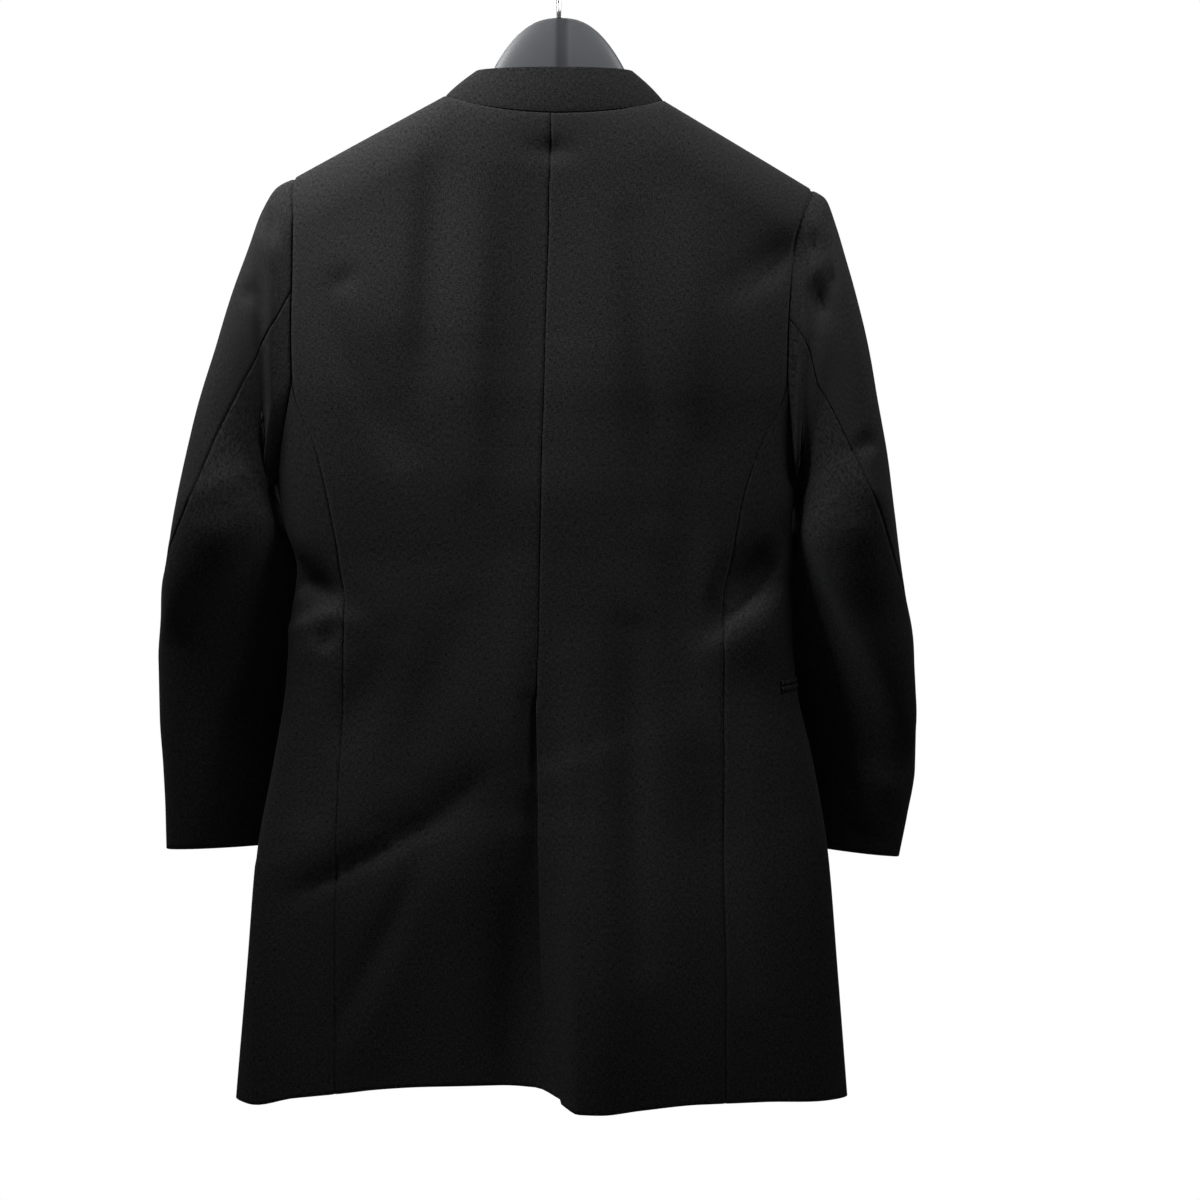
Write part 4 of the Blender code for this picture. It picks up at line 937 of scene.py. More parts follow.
def plan_body(cloth):
    """All six panels of the body with their creases and sunken seams."""
    rows = fine_places(ROW_COUNT, cloth.row_cells, (), BODY_CELL[1])
    columns = fine_places(NECK_COLUMNS + SHOULDER_COLUMNS, cloth.column_cells, GRADED, BODY_CELL[0])
    press = (cloth.seam_depth / MM, cloth.seam_width / MM)
    above_vent = ease((rows - VENT_ROW) / VENT_FADE)[:, None]
    vent_nose = (rows <= VENT_ROW)[:, None] * 1.0
    # the underlay of the vent is a part of the left back, on the right back's face
    under = np.linspace(UNDERLAY_COLUMNS, 0, UNDERLAY_COLUMNS * cloth.column_cells + 1)
    under[-1] = UNDERLAY_END
    centre = len(under)
    panels = {}
    for part, side, folds in (("back", 1, BACK_CREASES + VENT_HOLLOW),
                              ("back", -1, BACK_CREASES + VENT_ROLL),
                              ("front", 1, FRONT_CREASES), ("front", -1, FRONT_CREASES)):
        name, back = f"{part}_{SIDES[side]}", part == "back"
        points = panel_surface(side, back, columns, rows)
        if name == "back_left":
            points = np.concatenate([panel_surface(-1, True, under, rows), points], axis=1)
        panel = Panel(f"{name}_cloth", points, (side > 0) == back, columns, rows)
        if back:
            panel.crease(folds, (), ease(panel.edge_distance("high") / CREASE_FREE))
        else:
            panel.crease((), folds)
        panel.seam(("last", "high"), *press)
        panel.noses = {"low": 1.0, "first": vent_nose if back else 1.0}
        panel.trim = ("last", "high")
        panels[name] = panel

    # The left back is sunk beneath the lap of the vent, and at the centre seam.
    # Above the vent, all but a narrow seam allowance of the underlay is cut away.
    panel = panels["back_left"]
    from_centre = panel.edge_distance("first")
    from_centre = np.maximum(0.0, from_centre - from_centre[:, centre:centre + 1])
    valley = press[0] * np.exp(-((from_centre / press[1]) ** 2)) * above_vent
    lap = LAP_SINK * ease(1 - from_centre / LAP_FADE["back"]) * (1 - above_vent)
    sink = np.maximum(valley, lap)
    sink[rows > VENT_ROW, :centre] = ALLOWANCE_SINK
    panel.sink = np.maximum(panel.sink, sink)
    panel.mask = np.ones((len(rows) - 1, panel.points.shape[1] - 1), bool)
    panel.mask[rows[:-1] >= VENT_ROW, :centre - SEAM_FLAT] = False

    # The right back laps over it.
    panel = panels["back_right"]
    panel.seam(("first",), *press, above_vent)
    panel.trim = ("last", "high", "first")

    # The right front lies under the left one.
    panel = panels["front_right"]
    past_lap = np.maximum(0.0, panel.edge_distance("first") - 2 * LAP)
    panel.sink = np.maximum(panel.sink, LAP_SINK * ease(1 - past_lap / LAP_FADE["front"]))

    columns = fine_places(2 * SIDE_HALF, cloth.column_cells, GRADED, SIDE_CELL)
    rows = fine_places(JOIN_ROW, cloth.row_cells, ("last",), SIDE_CELL)
    for side, name in SIDES.items():
        points = side_surface(side, columns, rows)
        panel = Panel(f"side_{name}_cloth", points, side > 0, columns, rows)
        panel.crease(BACK_CREASES, FRONT_CREASES)
        panel.seam(("first", "last", "high"), *press)
        panel.noses = {"low": 1.0}
        panel.trim = ("high",)
        panels[f"side_{name}"] = panel
        join_edges(panels[f"back_{name}"], "last", panel, "first")
        join_edges(panels[f"front_{name}"], "last", panel, "last")
    return panels


def armhole(panels, name):
    """Places round an armhole, from the shoulder down the back and up the front.

    Gives, for each of the three panels on it, the panel, its edge, the rows or
    columns that lie on the armhole, and their places from 0 to 24.
    """
    back, flank, front = panels[f"back_{name}"], panels[f"side_{name}"], panels[f"front_{name}"]
    high = back.rows >= JOIN_ROW
    return ((back, "last", high, ROW_COUNT - back.rows[high]),
            (flank, "high", np.ones(len(flank.columns), bool), ARMHOLE_STEPS + flank.columns),
            (front, "last", high, ROW_COUNT - ARMHOLE_STEPS + front.rows[high] - JOIN_ROW))


def along(values, edge, chosen):
    """Values of a grid along its last column or its highest row."""
    return values[chosen, -1] if edge == "last" else values[-1, chosen]


def round_reader(places, values):
    """A function that reads values round the armhole, at any place."""
    places, values = np.concatenate(places), np.concatenate(values)
    order = np.argsort(places, kind="stable")
    places, values = places[order], values[order]
    return lambda place: read_line(np.mod(place, 3 * ARMHOLE_STEPS), places, values)


def rim_reader(edges, key):
    """The same for the points or the facing of the body along its armhole."""
    return round_reader([place for *_, place in edges],
                        [along(getattr(panel, key), edge, chosen)
                         for panel, edge, chosen, _ in edges])


def plan_sleeve(cloth, panels, side, name):
    """Under and top sleeve of one side, hung on the armhole's own points."""
    loops = SLEEVES[side]
    edges = armhole(panels, name)
    start = BACK_SEAM_PLACES[name]
    depth, width = cloth.seam_depth / MM, cloth.seam_width / MM
    rim = rim_reader(edges, "points")

    def seat(columns):
        """Places round the armhole of a sleeve's columns."""
        return np.interp(columns, (0, UNDER_COLUMNS, UNDER_COLUMNS + TOP_COLUMNS),
                         (start, FRONT_SEAM_PLACE, start + 3 * ARMHOLE_STEPS))

    rows = fine_places(len(loops) - 1, cloth.row_cells + 2, ("first",), SLEEVE_CELL[1])
    parts = []
    for part, first, count in (("under_sleeve", 0, UNDER_COLUMNS),
                               ("top_sleeve", UNDER_COLUMNS, TOP_COLUMNS)):
        columns = first + fine_places(count, cloth.column_cells - 1, GRADED, SLEEVE_CELL[0])
        points = sleeve_surface(loops, rim(seat(columns)), columns, rows)
        panel = Panel(f"{part}_{name}_cloth", points, side > 0, columns, rows)
        panel.crease(SLEEVE_BACK_CREASES, SLEEVE_FRONT_CREASES, off_outline(panel))
        panel.seam(GRADED, depth, width)
        panel.seam(("low",), depth, width * ARMHOLE_SEAM_WIDTH)
        panel.noses = {"high": 1.0}
        panel.trim = ("first", "last", "low")
        parts.append(panel)
    share_facing(edges, parts, seat)
    return parts


def off_outline(panel):
    """Nothing at the armhole and along the outline of a sleeve, and one between."""
    flat_on = np.abs(panel.normals()[..., 1])
    least, growth = SLEEVE_OUTLINE
    return ease(panel.rows / SLEEVE_CREASE_ROWS)[:, None] * ease((flat_on - least) * growth)


def share_facing(edges, parts, seat):
    """Let body and sleeve face the same way along the armhole seam."""
    for panel in parts:
        panel.settle()
    body = rim_reader(edges, "facing")
    sleeve = round_reader([np.mod(seat(panel.columns), 3 * ARMHOLE_STEPS) for panel in parts],
                          [panel.facing[0] for panel in parts])

    def middle(place):
        """Direction between that of the body and that of the sleeve."""
        return unit(body(place) + sleeve(place))

    for panel, edge, chosen, place in edges:
        near, target = panel.near(edge), middle(place)[None]
        if edge == "last":
            target = np.zeros_like(panel.facing)
            target[chosen] = middle(place)[:, None]
            near = near * chosen[:, None]
        panel.turn(target, near)
    for panel in parts:
        panel.turn(middle(seat(panel.columns))[None], panel.near("low"))


def join_edges(one, edge_one, other, edge_other):
    """Let two panels that are sewn along their rows share points and facing."""
    end_one, end_other = EDGES[edge_one][0], EDGES[edge_other][0]
    near = other.near(edge_other)
    edge = read_line(other.rows, one.rows, one.points[end_one])
    other.points = other.points + near[..., None] * (edge - other.points[end_other])[:, None]
    one.settle()
    other.settle()
    facing = read_line(other.rows, one.rows, one.facing[end_one])
    middle = unit(other.facing[end_other] + facing)
    other.turn(middle[:, None], near)
    joined = (one.rows <= other.rows[-1])[:, None]
    one.turn(read_line(one.rows, other.rows, middle)[:, None], one.near(edge_one) * joined)


def add_allowance(panel, edge, neighbour):
    """Carry a panel on beneath its neighbour at a seam, by four millimetres."""
    def carried(grid):
        """Columns of the neighbour, read at this panel's rows."""
        return [read_line(panel.rows, neighbour.rows, grid[:, column])[:, None]
                for column in ALLOWANCE_COLUMNS]

    added = {"points": carried(neighbour.points), "facing": map(unit, carried(neighbour.facing)),
             "sink": np.full((len(ALLOWANCE_COLUMNS), len(panel.rows), 1), ALLOWANCE_SINK)}
    for key, columns in added.items():
        grids = [getattr(panel, key), *columns]
        if edge == "first":
            grids.reverse()
        setattr(panel, key, np.concatenate(grids, axis=1))


def plan_collar():
    """The stand collar, round the neck from one centre front to the other."""
    start, end = (math.acos((CENTRE_FRONT + gap - NECK_MIDDLE) / NECK_HALF)
                  for gap in (COLLAR_OPENING, -COLLAR_OPENING))
    angles = np.linspace(-start, 2 * math.pi - end, COLLAR_COLUMNS)
    panel = Panel("stand_collar_cloth", collar_surface(angles, np.array(COLLAR_LINES)), False)
    panel.seam(("low",), *COLLAR_SEAM)
    panel.noses = {"first": 1.0, "last": 1.0, "high": 1.0}
    panel.trim = ("low",)
    return panel


def sew(panel, cloth, wall=None, uv_turn=0.0):
    """Trim a planned panel, give it its wall and put it in place of its solid."""
    panel.settle()
    panel.draw_back(cloth.seam_parting / MM)
    wool = once("wool", wool_material, cloth)
    piece = make_shell(panel, (wall or cloth.wall) / MM, wool, uv_turn)
    solid = panel.name.removesuffix("_cloth")
    dress(piece, "wool", solid)


# ------------------------------------------------------------------- pockets
def probe(panel, column, heights):
    """Points and outward directions of a panel's face, at a column and heights."""
    after = int(np.clip(np.searchsorted(panel.columns, column), 1, len(panel.columns) - 1))
    low, high = panel.columns[after - 1:after + 1]
    points, facing = (
        blend(*(read_line(heights, panel.points[:, index, 2], grid[:, index])
                for index in (after - 1, after)), (column - low) / (high - low))
        for grid in (panel.points, panel.facing))
    return points, unit(facing)


def pocket_probe(panels, pocket, place, heights):
    """The same, at a place counted from the side panel's back seam."""
    flank, front = panels[f"side_{pocket.name}"], panels[f"front_{pocket.name}"]
    if place <= 2 * SIDE_HALF:
        return probe(flank, place, heights)
    return probe(front, NECK_COLUMNS + SHOULDER_COLUMNS - (place - 2 * SIDE_HALF), heights)


def pocket_places(panels, pocket):
    """Lengths along a pocket, evenly spaced, and the places that they lie at."""
    # its front end lies less than nine columns from its rear end
    places = np.arange(pocket.start, pocket.start + 9.0, 0.1)
    track = np.stack([pocket_probe(panels, pocket, p, np.array([POCKET_Z]))[0][0]
                      for p in places])
    gone = np.concatenate([[0.0], np.cumsum(np.linalg.norm(np.diff(track, axis=0), axis=1))])
    lengths = np.linspace(0.0, POCKET_LENGTH, POCKET_LINES)
    return lengths, np.interp(lengths, gone, places)


def plan_jet(panels, pocket, number, name):
    """One jet of a pocket: a narrow folded strip, round on its outer face."""
    across = np.sin(np.radians(np.linspace(-90, 90, JET_LINES)))
    lift = JET_LIFT[0] + JET_LIFT[1] * np.sqrt(np.maximum(0.0, 1 - across ** 2))
    middle = -number * (JET_HEIGHT + JET_PARTING) - JET_HEIGHT / 2
    lines = []
    for length, place in zip(*pocket_places(panels, pocket)):
        rise = POCKET_Z + middle + POCKET_RISE * length / POCKET_LENGTH
        points, facing = pocket_probe(panels, pocket, place, rise + across * JET_HEIGHT / 2)
        lines.append(points + facing * lift[:, None])
    return Panel(f"pocket_jet_{name}_{pocket.name}_cloth", np.stack(lines, axis=1),
                 pocket.side > 0)


# ------------------------------------------------------------------ stitches
def stitch_tree():
    """Geometry nodes that lay stitches along a path.

    Every point of the path carries two directions, the run of its thread and
    the side on which it shows.
    """
    tree = bpy.data.node_groups.new("stitches_along_path", "GeometryNodeTree")
    sockets = tree.interface
    sockets.new_socket("Path", in_out="INPUT", socket_type="NodeSocketGeometry")
    for name, default in (("Pitch", 0.001), ("Stitch Length", 0.002), ("Thread Width", 0.0004),
                          ("Unevenness", 0.12)):
        made = sockets.new_socket(name, in_out="INPUT", socket_type="NodeSocketFloat")
        made.default_value = default
    sockets.new_socket("Thread", in_out="INPUT", socket_type="NodeSocketMaterial")
    sockets.new_socket("Stitches", in_out="OUTPUT", socket_type="NodeSocketGeometry")
    given = node(tree, "NodeGroupInput").outputs
    curve = node(tree, "GeometryNodeMeshToCurve", Mesh=given["Path"]).outputs[0]
    spaced = node(tree, "GeometryNodeResampleCurve", {"mode": "LENGTH"},
                  Curve=curve, Length=given["Pitch"]).outputs[0]
    run, face = (node(tree, "GeometryNodeInputNamedAttribute", {"data_type": "FLOAT_VECTOR"},
                      Name=name).outputs["Attribute"] for name in ("run", "face"))
    turn = node(tree, "FunctionNodeAxesToRotation", {"primary_axis": "X", "secondary_axis": "Z"},
                Primary_Axis=run, Secondary_Axis=face).outputs[0]
    uneven = node(tree, "FunctionNodeRandomValue", {"data_type": "FLOAT"},
                  {2: -1.0, 3: 1.0}, Seed=11).outputs[1]
    spread = node(tree, "ShaderNodeMath", {"operation": "MULTIPLY_ADD"},
                  {0: uneven, 1: given["Unevenness"], 2: 1.0}).outputs[0]
    length = node(tree, "ShaderNodeMath", {"operation": "MULTIPLY"},
                  {0: spread, 1: given["Stitch Length"]}).outputs[0]
    size = node(tree, "ShaderNodeCombineXYZ", X=length, Y=given["Thread Width"],
                Z=given["Thread Width"]).outputs[0]
    grain = node(tree, "GeometryNodeMeshUVSphere", Segments=8, Rings=5, Radius=0.5)
    laid = node(tree, "GeometryNodeInstanceOnPoints", Points=spaced, Rotation=turn, Scale=size,
                Instance=grain.outputs["Mesh"]).outputs[0]
    real = node(tree, "GeometryNodeRealizeInstances", Geometry=laid).outputs[0]
    smooth = node(tree, "GeometryNodeSetShadeSmooth", Geometry=real).outputs[0]
    threaded = node(tree, "GeometryNodeSetMaterial", Geometry=smooth, Material=given["Thread"])
    node(tree, "NodeGroupOutput", Stitches=threaded.outputs[0])
    return tree


def lay_stitches(name, paths, pitch, length, width, material):
    """A plain mesh of stitches along paths of (place, run, face) in millimetres."""
    stops = [stop for path in paths for stop in path]
    starts = np.cumsum([0] + [len(path) for path in paths])
    edges = [(i, i + 1) for i in range(len(stops) - 1) if i + 1 not in starts]
    guide = bpy.data.meshes.new(name + "_guide")
    guide.from_pydata([Vector(stop[0]) * MM for stop in stops], edges, [])
    for key, number in (("run", 1), ("face", 2)):
        ways = [part for stop in stops for part in Vector(stop[number]).normalized()]
        guide.attributes.new(key, "FLOAT_VECTOR", "POINT").data.foreach_set("vector", ways)
    holder = bpy.data.objects.new(name + "_guide", guide)
    bpy.context.scene.collection.objects.link(holder)
    modifier = holder.modifiers.new("stitches", "NODES")
    modifier.node_group = once("stitches", stitch_tree)
    keys = {item.name: item.identifier for item in modifier.node_group.interface.items_tree
            if item.item_type == "SOCKET" and item.in_out == "INPUT"}
    for key, value in (("Pitch", pitch), ("Stitch Length", length), ("Thread Width", width),
                       ("Thread", material)):
        modifier[keys[key]] = value
    bpy.context.view_layer.update()
    shaped = holder.evaluated_get(bpy.context.evaluated_depsgraph_get())
    mesh = bpy.data.meshes.new_from_object(shaped)
    bpy.data.objects.remove(holder)
    if not mesh.polygons:
        raise RuntimeError(f"{name} has no stitches")
    return add_piece(name, mesh)


# ------------------------------------------------------------------- buttons
def turns(sides):
    """Angles of the corners of an even polygon."""
    return [2 * math.pi * corner / sides for corner in range(sides)]


def bridge(mesh, rings):
    """Faces from ring to ring, where a ring may also be a single point."""
    for low, high in zip(rings, rings[1:]):
        sides = max(len(low), len(high))
        for corner in range(sides):
            after = (corner + 1) % sides
            corners = (low[corner % len(low)], low[after % len(low)],
                       high[after % len(high)], high[corner % len(high)])
            mesh.faces.new(list(dict.fromkeys(corners)))


def finish_mesh(name, mesh, material):
    """A smooth object of a mesh whose faces are all turned outwards."""
    bmesh.ops.recalc_face_normals(mesh, faces=mesh.faces)
    data = bpy.data.meshes.new(name)
    mesh.to_mesh(data)
    mesh.free()
    data.shade_smooth()
    data.materials.append(material)
    return add_piece(name, data)


def seat_frame(z):
    """Place, across, up and out of the cloth under a button."""
    step = np.array([-5.0, 0.0, 5.0])
    line = body_at(CENTRE_FRONT + step, np.full(3, z), False)
    column = body_at(np.full(3, CENTRE_FRONT), z + step, False)
    across = Vector(line[2] - line[0]).normalized()
    out = Vector(column[2] - column[0]).normalized().cross(across)
    if out.y > 0:
        out.negate()
    out.normalize()
    return Vector(line[1]), across, out.cross(across), out


def make_button(name, z, settings, material):
    """A four-hole button: rolled rim, dished middle and sunken holes."""
    radius, thick = settings.radius / MM, settings.thickness / MM
    hole, spread = settings.hole / MM, settings.hole_spread / MM
    seat, across, up, out = seat_frame(z)
    dish = thick - BUTTON_DISH
    # how far inside the rim each ring of the turned profile lies, and its height
    profile = [(radius, 0.0), (1.4, 0.0), (0.5, 0.3), (0.1, 1.0), (0.0, thick * 0.55),
               (0.2, thick - 0.5), (0.8, thick - 0.08), (1.3, thick), (1.9, thick - 0.15),
               (2.6, thick - 0.6), (3.4, thick - 0.95), (4.0, dish)]
    rings = [(radius - inset, height) for inset, height in profile]
    rings += [(around, dish) for around in np.linspace(radius - 4.5, 0.0, 22)]
    mesh = bmesh.new()
    made = []
    for around, height in rings:
        ring = []
        for turn in turns(BUTTON_SIDES if around > 1e-6 else 1):
            x, y = around * math.cos(turn), around * math.sin(turn)
            away = math.hypot(abs(x) - spread, abs(y) - spread)
            sunk = HOLE_DEPTH * (1 - float(ease((away - hole * 0.7) / (hole * 0.5))))
            top = height - (sunk if height == dish and around < radius - 4.2 else 0.0)
            place = seat + out * (BUTTON_SHANK + top) + across * x + up * y
            ring.append(mesh.verts.new(place * MM))
        made.append(ring)
    bridge(mesh, made)
    return finish_mesh(name, mesh, material)


def button_thread_paths(z, settings):
    """Two bars of thread over the four holes of a button."""
    seat, across, up, out = seat_frame(z)
    spread = settings.hole_spread / MM
    top = seat + out * (settings.thickness / MM - 0.25)
    paths = []
    for height in (-spread, spread):
        middle = top + up * height
        paths.append([(middle + up * end, across, out) for end in (-0.45, 0.45)])
    return paths


def front_paths(z, heights, along_x, lift):
    """Paths of upright stitches on the front, each at its own height over z."""
    paths = []
    for height in heights:
        places = [front_place(CENTRE_FRONT + x, z + height) for x in along_x]
        paths.append([(place + normal * lift, (0, 0, 1), normal) for place, normal in places])
    return paths


def front_place(x, z):
    """Point of the front's outer face and its outward direction."""
    spots = body_at(np.array([x, x + 2.0, x]), np.array([z, z, z + 2.0]), False)
    place = Vector(spots[0])
    normal = (Vector(spots[1]) - place).cross(Vector(spots[2]) - place)
    if normal.y > 0:
        normal.negate()
    return place, normal.normalized()


# -------------------------------------------------------------- hanger and hook
def hanger_top(x):
    """Height of the hanger's upper edge: an arched head that runs into arms."""
    arch = HEAD_TOP - HEAD_FALL * (abs(x) / HEAD_HALF) ** HEAD_POWER
    side = 1 if x > 0 else -1
    dip = ARM_DIP * max(0.0, 1 - abs(x - NECK[side].x) / ARM_DIP_REACH) ** 2
    return max(arch, shoulder_line(x, side) - HANGER_CLEAR - dip)


def tube_mesh(name, rings, material):
    """Closed mesh through rings of points, with both ends filled."""
    mesh = bmesh.new()
    made = [[mesh.verts.new(Vector(p) * MM) for p in ring] for ring in rings]
    bridge(mesh, made)
    for ring in (made[0], made[-1]):
        centre = mesh.verts.new(sum((v.co for v in ring), Vector()) / len(ring))
        bridge(mesh, [ring, [centre]])
    return finish_mesh(name, mesh, material)


def hanger_rings(groove):
    """Rings of the moulding, each a rounded upright section."""
    rings = []
    for share in np.linspace(0.0, 1.0, HANGER_STATIONS):
        x = blend(HANGER_RIGHT_END, HANGER_LEFT_END, share)
        reach = abs(x) / (HANGER_LEFT_END if x > 0 else -HANGER_RIGHT_END)
        # the ends are rounded off over the last 7 % of each arm
        close = math.sqrt(max(0.03, 1 - float(ease((reach - 0.93) / 0.07)) * 0.97))
        top = hanger_top(x)
        low = top - blend(HANGER_ARM_HEIGHT, HANGER_END_HEIGHT, reach)
        head = float(ease(1 - (abs(x) - HEAD_SIDE) / HEAD_FADE))
        low = blend(low, min(low, HANGER_HEAD_BOTTOM), head)
        middle, half = (top + low) / 2, (top - low) / 2
        depth = blend(HANGER_HALF_DEPTH, HANGER_END_DEPTH, float(ease(2 * reach - 1)))
        flute = groove * math.exp(-(((x - FLUTE_X) / FLUTE_HALF) ** 4))
        ring = []
        for turn in turns(HANGER_SIDES):
            power = 2 / HANGER_SQUARENESS
            y = depth * close * float(signed_power(math.sin(turn), power))
            z = middle + half * close * float(signed_power(math.cos(turn), power))
            y -= math.copysign(flute, y) * min(1.0, abs(y) / FLUTE_EDGE)
            ring.append((x, y, z))
        rings.append(ring)
    return rings


def hook_rings():
    """Rings of the wire along a stem, a bend and most of a circle."""
    radius = HOOK_BORE + HOOK_WIRE
    line = [Vector((x, 0, z)) for x, z in HOOK_STEM]
    for turn in map(math.radians, range(*HOOK_TURN)):
        line.append(Vector((math.cos(turn) * radius, 0, math.sin(turn) * radius - HOOK_BORE)))
    rings = []
    for index, point in enumerate(line):
        before, after = line[max(0, index - 1)], line[min(len(line) - 1, index + 1)]
        side = Vector((0, 1, 0))
        other = (after - before).normalized().cross(side)
        # the end of the wire is rounded off over its last two rings
        tip = min(1.0, 0.45 + 0.3 * (len(line) - 1 - index))
        rings.append([point + (side * math.cos(turn) + other * math.sin(turn)) * HOOK_WIRE * tip
                      for turn in turns(HOOK_SIDES)])
    return rings


# --------------------------------------------------------------------- stage
def aim(item, place, target):
    """Put a light or camera somewhere and turn it towards a point."""
    item.location = place
    item.rotation_euler = (Vector(target) - Vector(place)).to_track_quat("-Z", "Y").to_euler()


def add_light(name, place, target, size, power, spread):
    """A soft square light, whose beam opens by the spread in degrees."""
    data = bpy.data.lights.new(name, "AREA")
    data.shape = "SQUARE"
    data.size = size
    data.energy = power
    data.spread = math.radians(spread)
    light = bpy.data.objects.new(name, data)
    bpy.context.scene.collection.objects.link(light)
    light.visible_camera = False
    aim(light, place, target)


# ---------------------------------------------------------------- properties
def measure(name, note, default, **limits):
    """A property that is a length in metres."""
    return FloatProperty(name=name, description=note, default=default, subtype="DISTANCE",
                         unit="LENGTH", **limits)


def watts(name, note, default):
    """A property that is the power of a light."""
    return FloatProperty(name=name, description=note, default=default, min=0.0, unit="POWER")


def tint(name, default):
    """A property that is a colour."""
    return StringProperty(name=name, description="sRGB hex colour", default=default)


class JACKET_PG_cloth(bpy.types.PropertyGroup):
    """Sizes and colours of the wool cloth."""
    wall: measure("Cloth", "Thickness of cloth and lining together", 0.0016, min=0.0005, max=0.003)
    collar_wall: measure("Collar", "Thickness of the stand collar", 0.002, min=0.001, max=0.004)
    seam_depth: measure("Seam depth", "How far a pressed seam lies sunk", 0.0014, min=0.0, max=0.002)
    seam_width: measure("Seam width", "Half the width of a pressed seam", 0.0013,
                        min=0.0005, max=0.005)
    seam_parting: measure("Seam parting", "Half the gap at a seam", 0.00008, min=0.0, max=0.0005)
    row_cells: IntProperty(name="Rows", description="Fine rows in each coarse row",
                           default=6, min=2, max=12)
    column_cells: IntProperty(name="Columns", description="Fine columns in each coarse column",
                              default=4, min=2, max=10)
    sheen: FloatProperty(name="Bloom", description="Weight of the light caught by raised hairs",
                         default=0.01, min=0.0, max=1.0, subtype="FACTOR")
    wool_dark: tint("Hollow of the weave", "050505")
    wool_light: tint("Top of the weave", "1C1C1C")
    thread_dark: tint("Thread, dark", "070707")
    thread_light: tint("Thread, light", "121212")


class JACKET_PG_buttons(bpy.types.PropertyGroup):
    """Sizes and colours of the buttons and their holes in the cloth."""
    radius: measure("Radius", "Radius of a button", 0.0105, min=0.005, max=0.016)
    thickness: measure("Thickness", "Thickness at the rim", 0.0032, min=0.002, max=0.005)
    hole: measure("Hole", "Radius of one hole", 0.0011, min=0.0005, max=0.002)
    hole_spread: measure("Hole spread", "Half the pitch of the holes", 0.0021, min=0.001, max=0.003)
    hole_length: measure("Buttonhole", "Length from eyelet to bar", 0.021, min=0.012, max=0.03)
    button_dark: tint("Button, dark", "141312")
    button_light: tint("Button, light", "262321")


class JACKET_PG_hanger(bpy.types.PropertyGroup):
    """Sizes and colours of the hanger and its hook."""
    groove: measure("Groove", "Depth of the flute in the head", 0.0005, min=0.0, max=0.003)
    plastic_dark: tint("Plastic, dark", "202123")
    plastic_light: tint("Plastic, light", "27292B")
    steel_dark: tint("Steel, dark", "B9BABD")
    steel_light: tint("Steel, light", "CDCED0")


class JACKET_PG_stage(bpy.types.PropertyGroup):
    """Floor, light and camera."""
    floor_height: measure("Floor", "Height of the floor", -1.42)
    key_power: watts("Key light", "Power of the high light behind", 9.6)
    fill_power: watts("Fill light", "Power of the wide soft light", 0.8)
    front_power: watts("Front light", "Power of the light in front", 50.0)
    floor_radius: measure("Floor radius", "Radius of the round floor", 1.15)
    floor_dark: tint("Floor, dark", "EDEDEB")
    floor_light: tint("Floor, light", "F4F4F2")
    world: tint("Surroundings", "FFFFFF")
    world_light: FloatProperty(name="Surrounding light", default=0.12, min=0.0,
                               description="Strength of the light from all around")


class JACKET_PG_all(bpy.types.PropertyGroup):
    """Everything that a user would change."""
    cloth: PointerProperty(type=JACKET_PG_cloth)
    buttons: PointerProperty(type=JACKET_PG_buttons)
    hanger: PointerProperty(type=JACKET_PG_hanger)
    stage: PointerProperty(type=JACKET_PG_stage)


# ----------------------------------------------------------------- operators
class JACKET_OT_plan(bpy.types.Operator):
    """Work out the faces of body, sleeves and pocket jets before any is given its wall."""
    bl_idname = "jacket.plan"
    bl_label = "Plan the cloth"

    def execute(self, context):
        cloth = context.scene.jacket.cloth
        panels = plan_body(cloth)
        sleeves = {name: plan_sleeve(cloth, panels, side, name) for side, name in SIDES.items()}
        jets = {(pocket.name, number): plan_jet(panels, pocket, number, name)
                for pocket in POCKETS for number, name in enumerate(("upper", "lower"))}
        for name in SIDES.values():
            add_allowance(panels[f"side_{name}"], "first", panels[f"back_{name}"])
            add_allowance(panels[f"side_{name}"], "last", panels[f"front_{name}"])
        STATE.update(panels=panels, sleeves=sleeves, jets=jets)
        return {"FINISHED"}


class JACKET_OT_body(bpy.types.Operator):
    """Make the six panels of the body, each a sheet of its own cut."""
    bl_idname = "jacket.body"
    bl_label = "Body panels"

    def execute(self, context):
        for panel in STATE["panels"].values():
            sew(panel, context.scene.jacket.cloth)
        return {"FINISHED"}


class JACKET_OT_sleeves(bpy.types.Operator):
    """Make both two-piece sleeves, hung from the armholes."""
    bl_idname = "jacket.sleeves"
    bl_label = "Sleeves"

    def execute(self, context):
        for name, parts in STATE["sleeves"].items():
            for panel in parts:
                sew(panel, context.scene.jacket.cloth)
        return {"FINISHED"}


class JACKET_OT_collar(bpy.types.Operator):
    """Make the stand collar round the neck."""
    bl_idname = "jacket.collar"
    bl_label = "Stand collar"

    def execute(self, context):
        cloth = context.scene.jacket.cloth
        sew(plan_collar(), cloth, cloth.collar_wall)
        return {"FINISHED"}


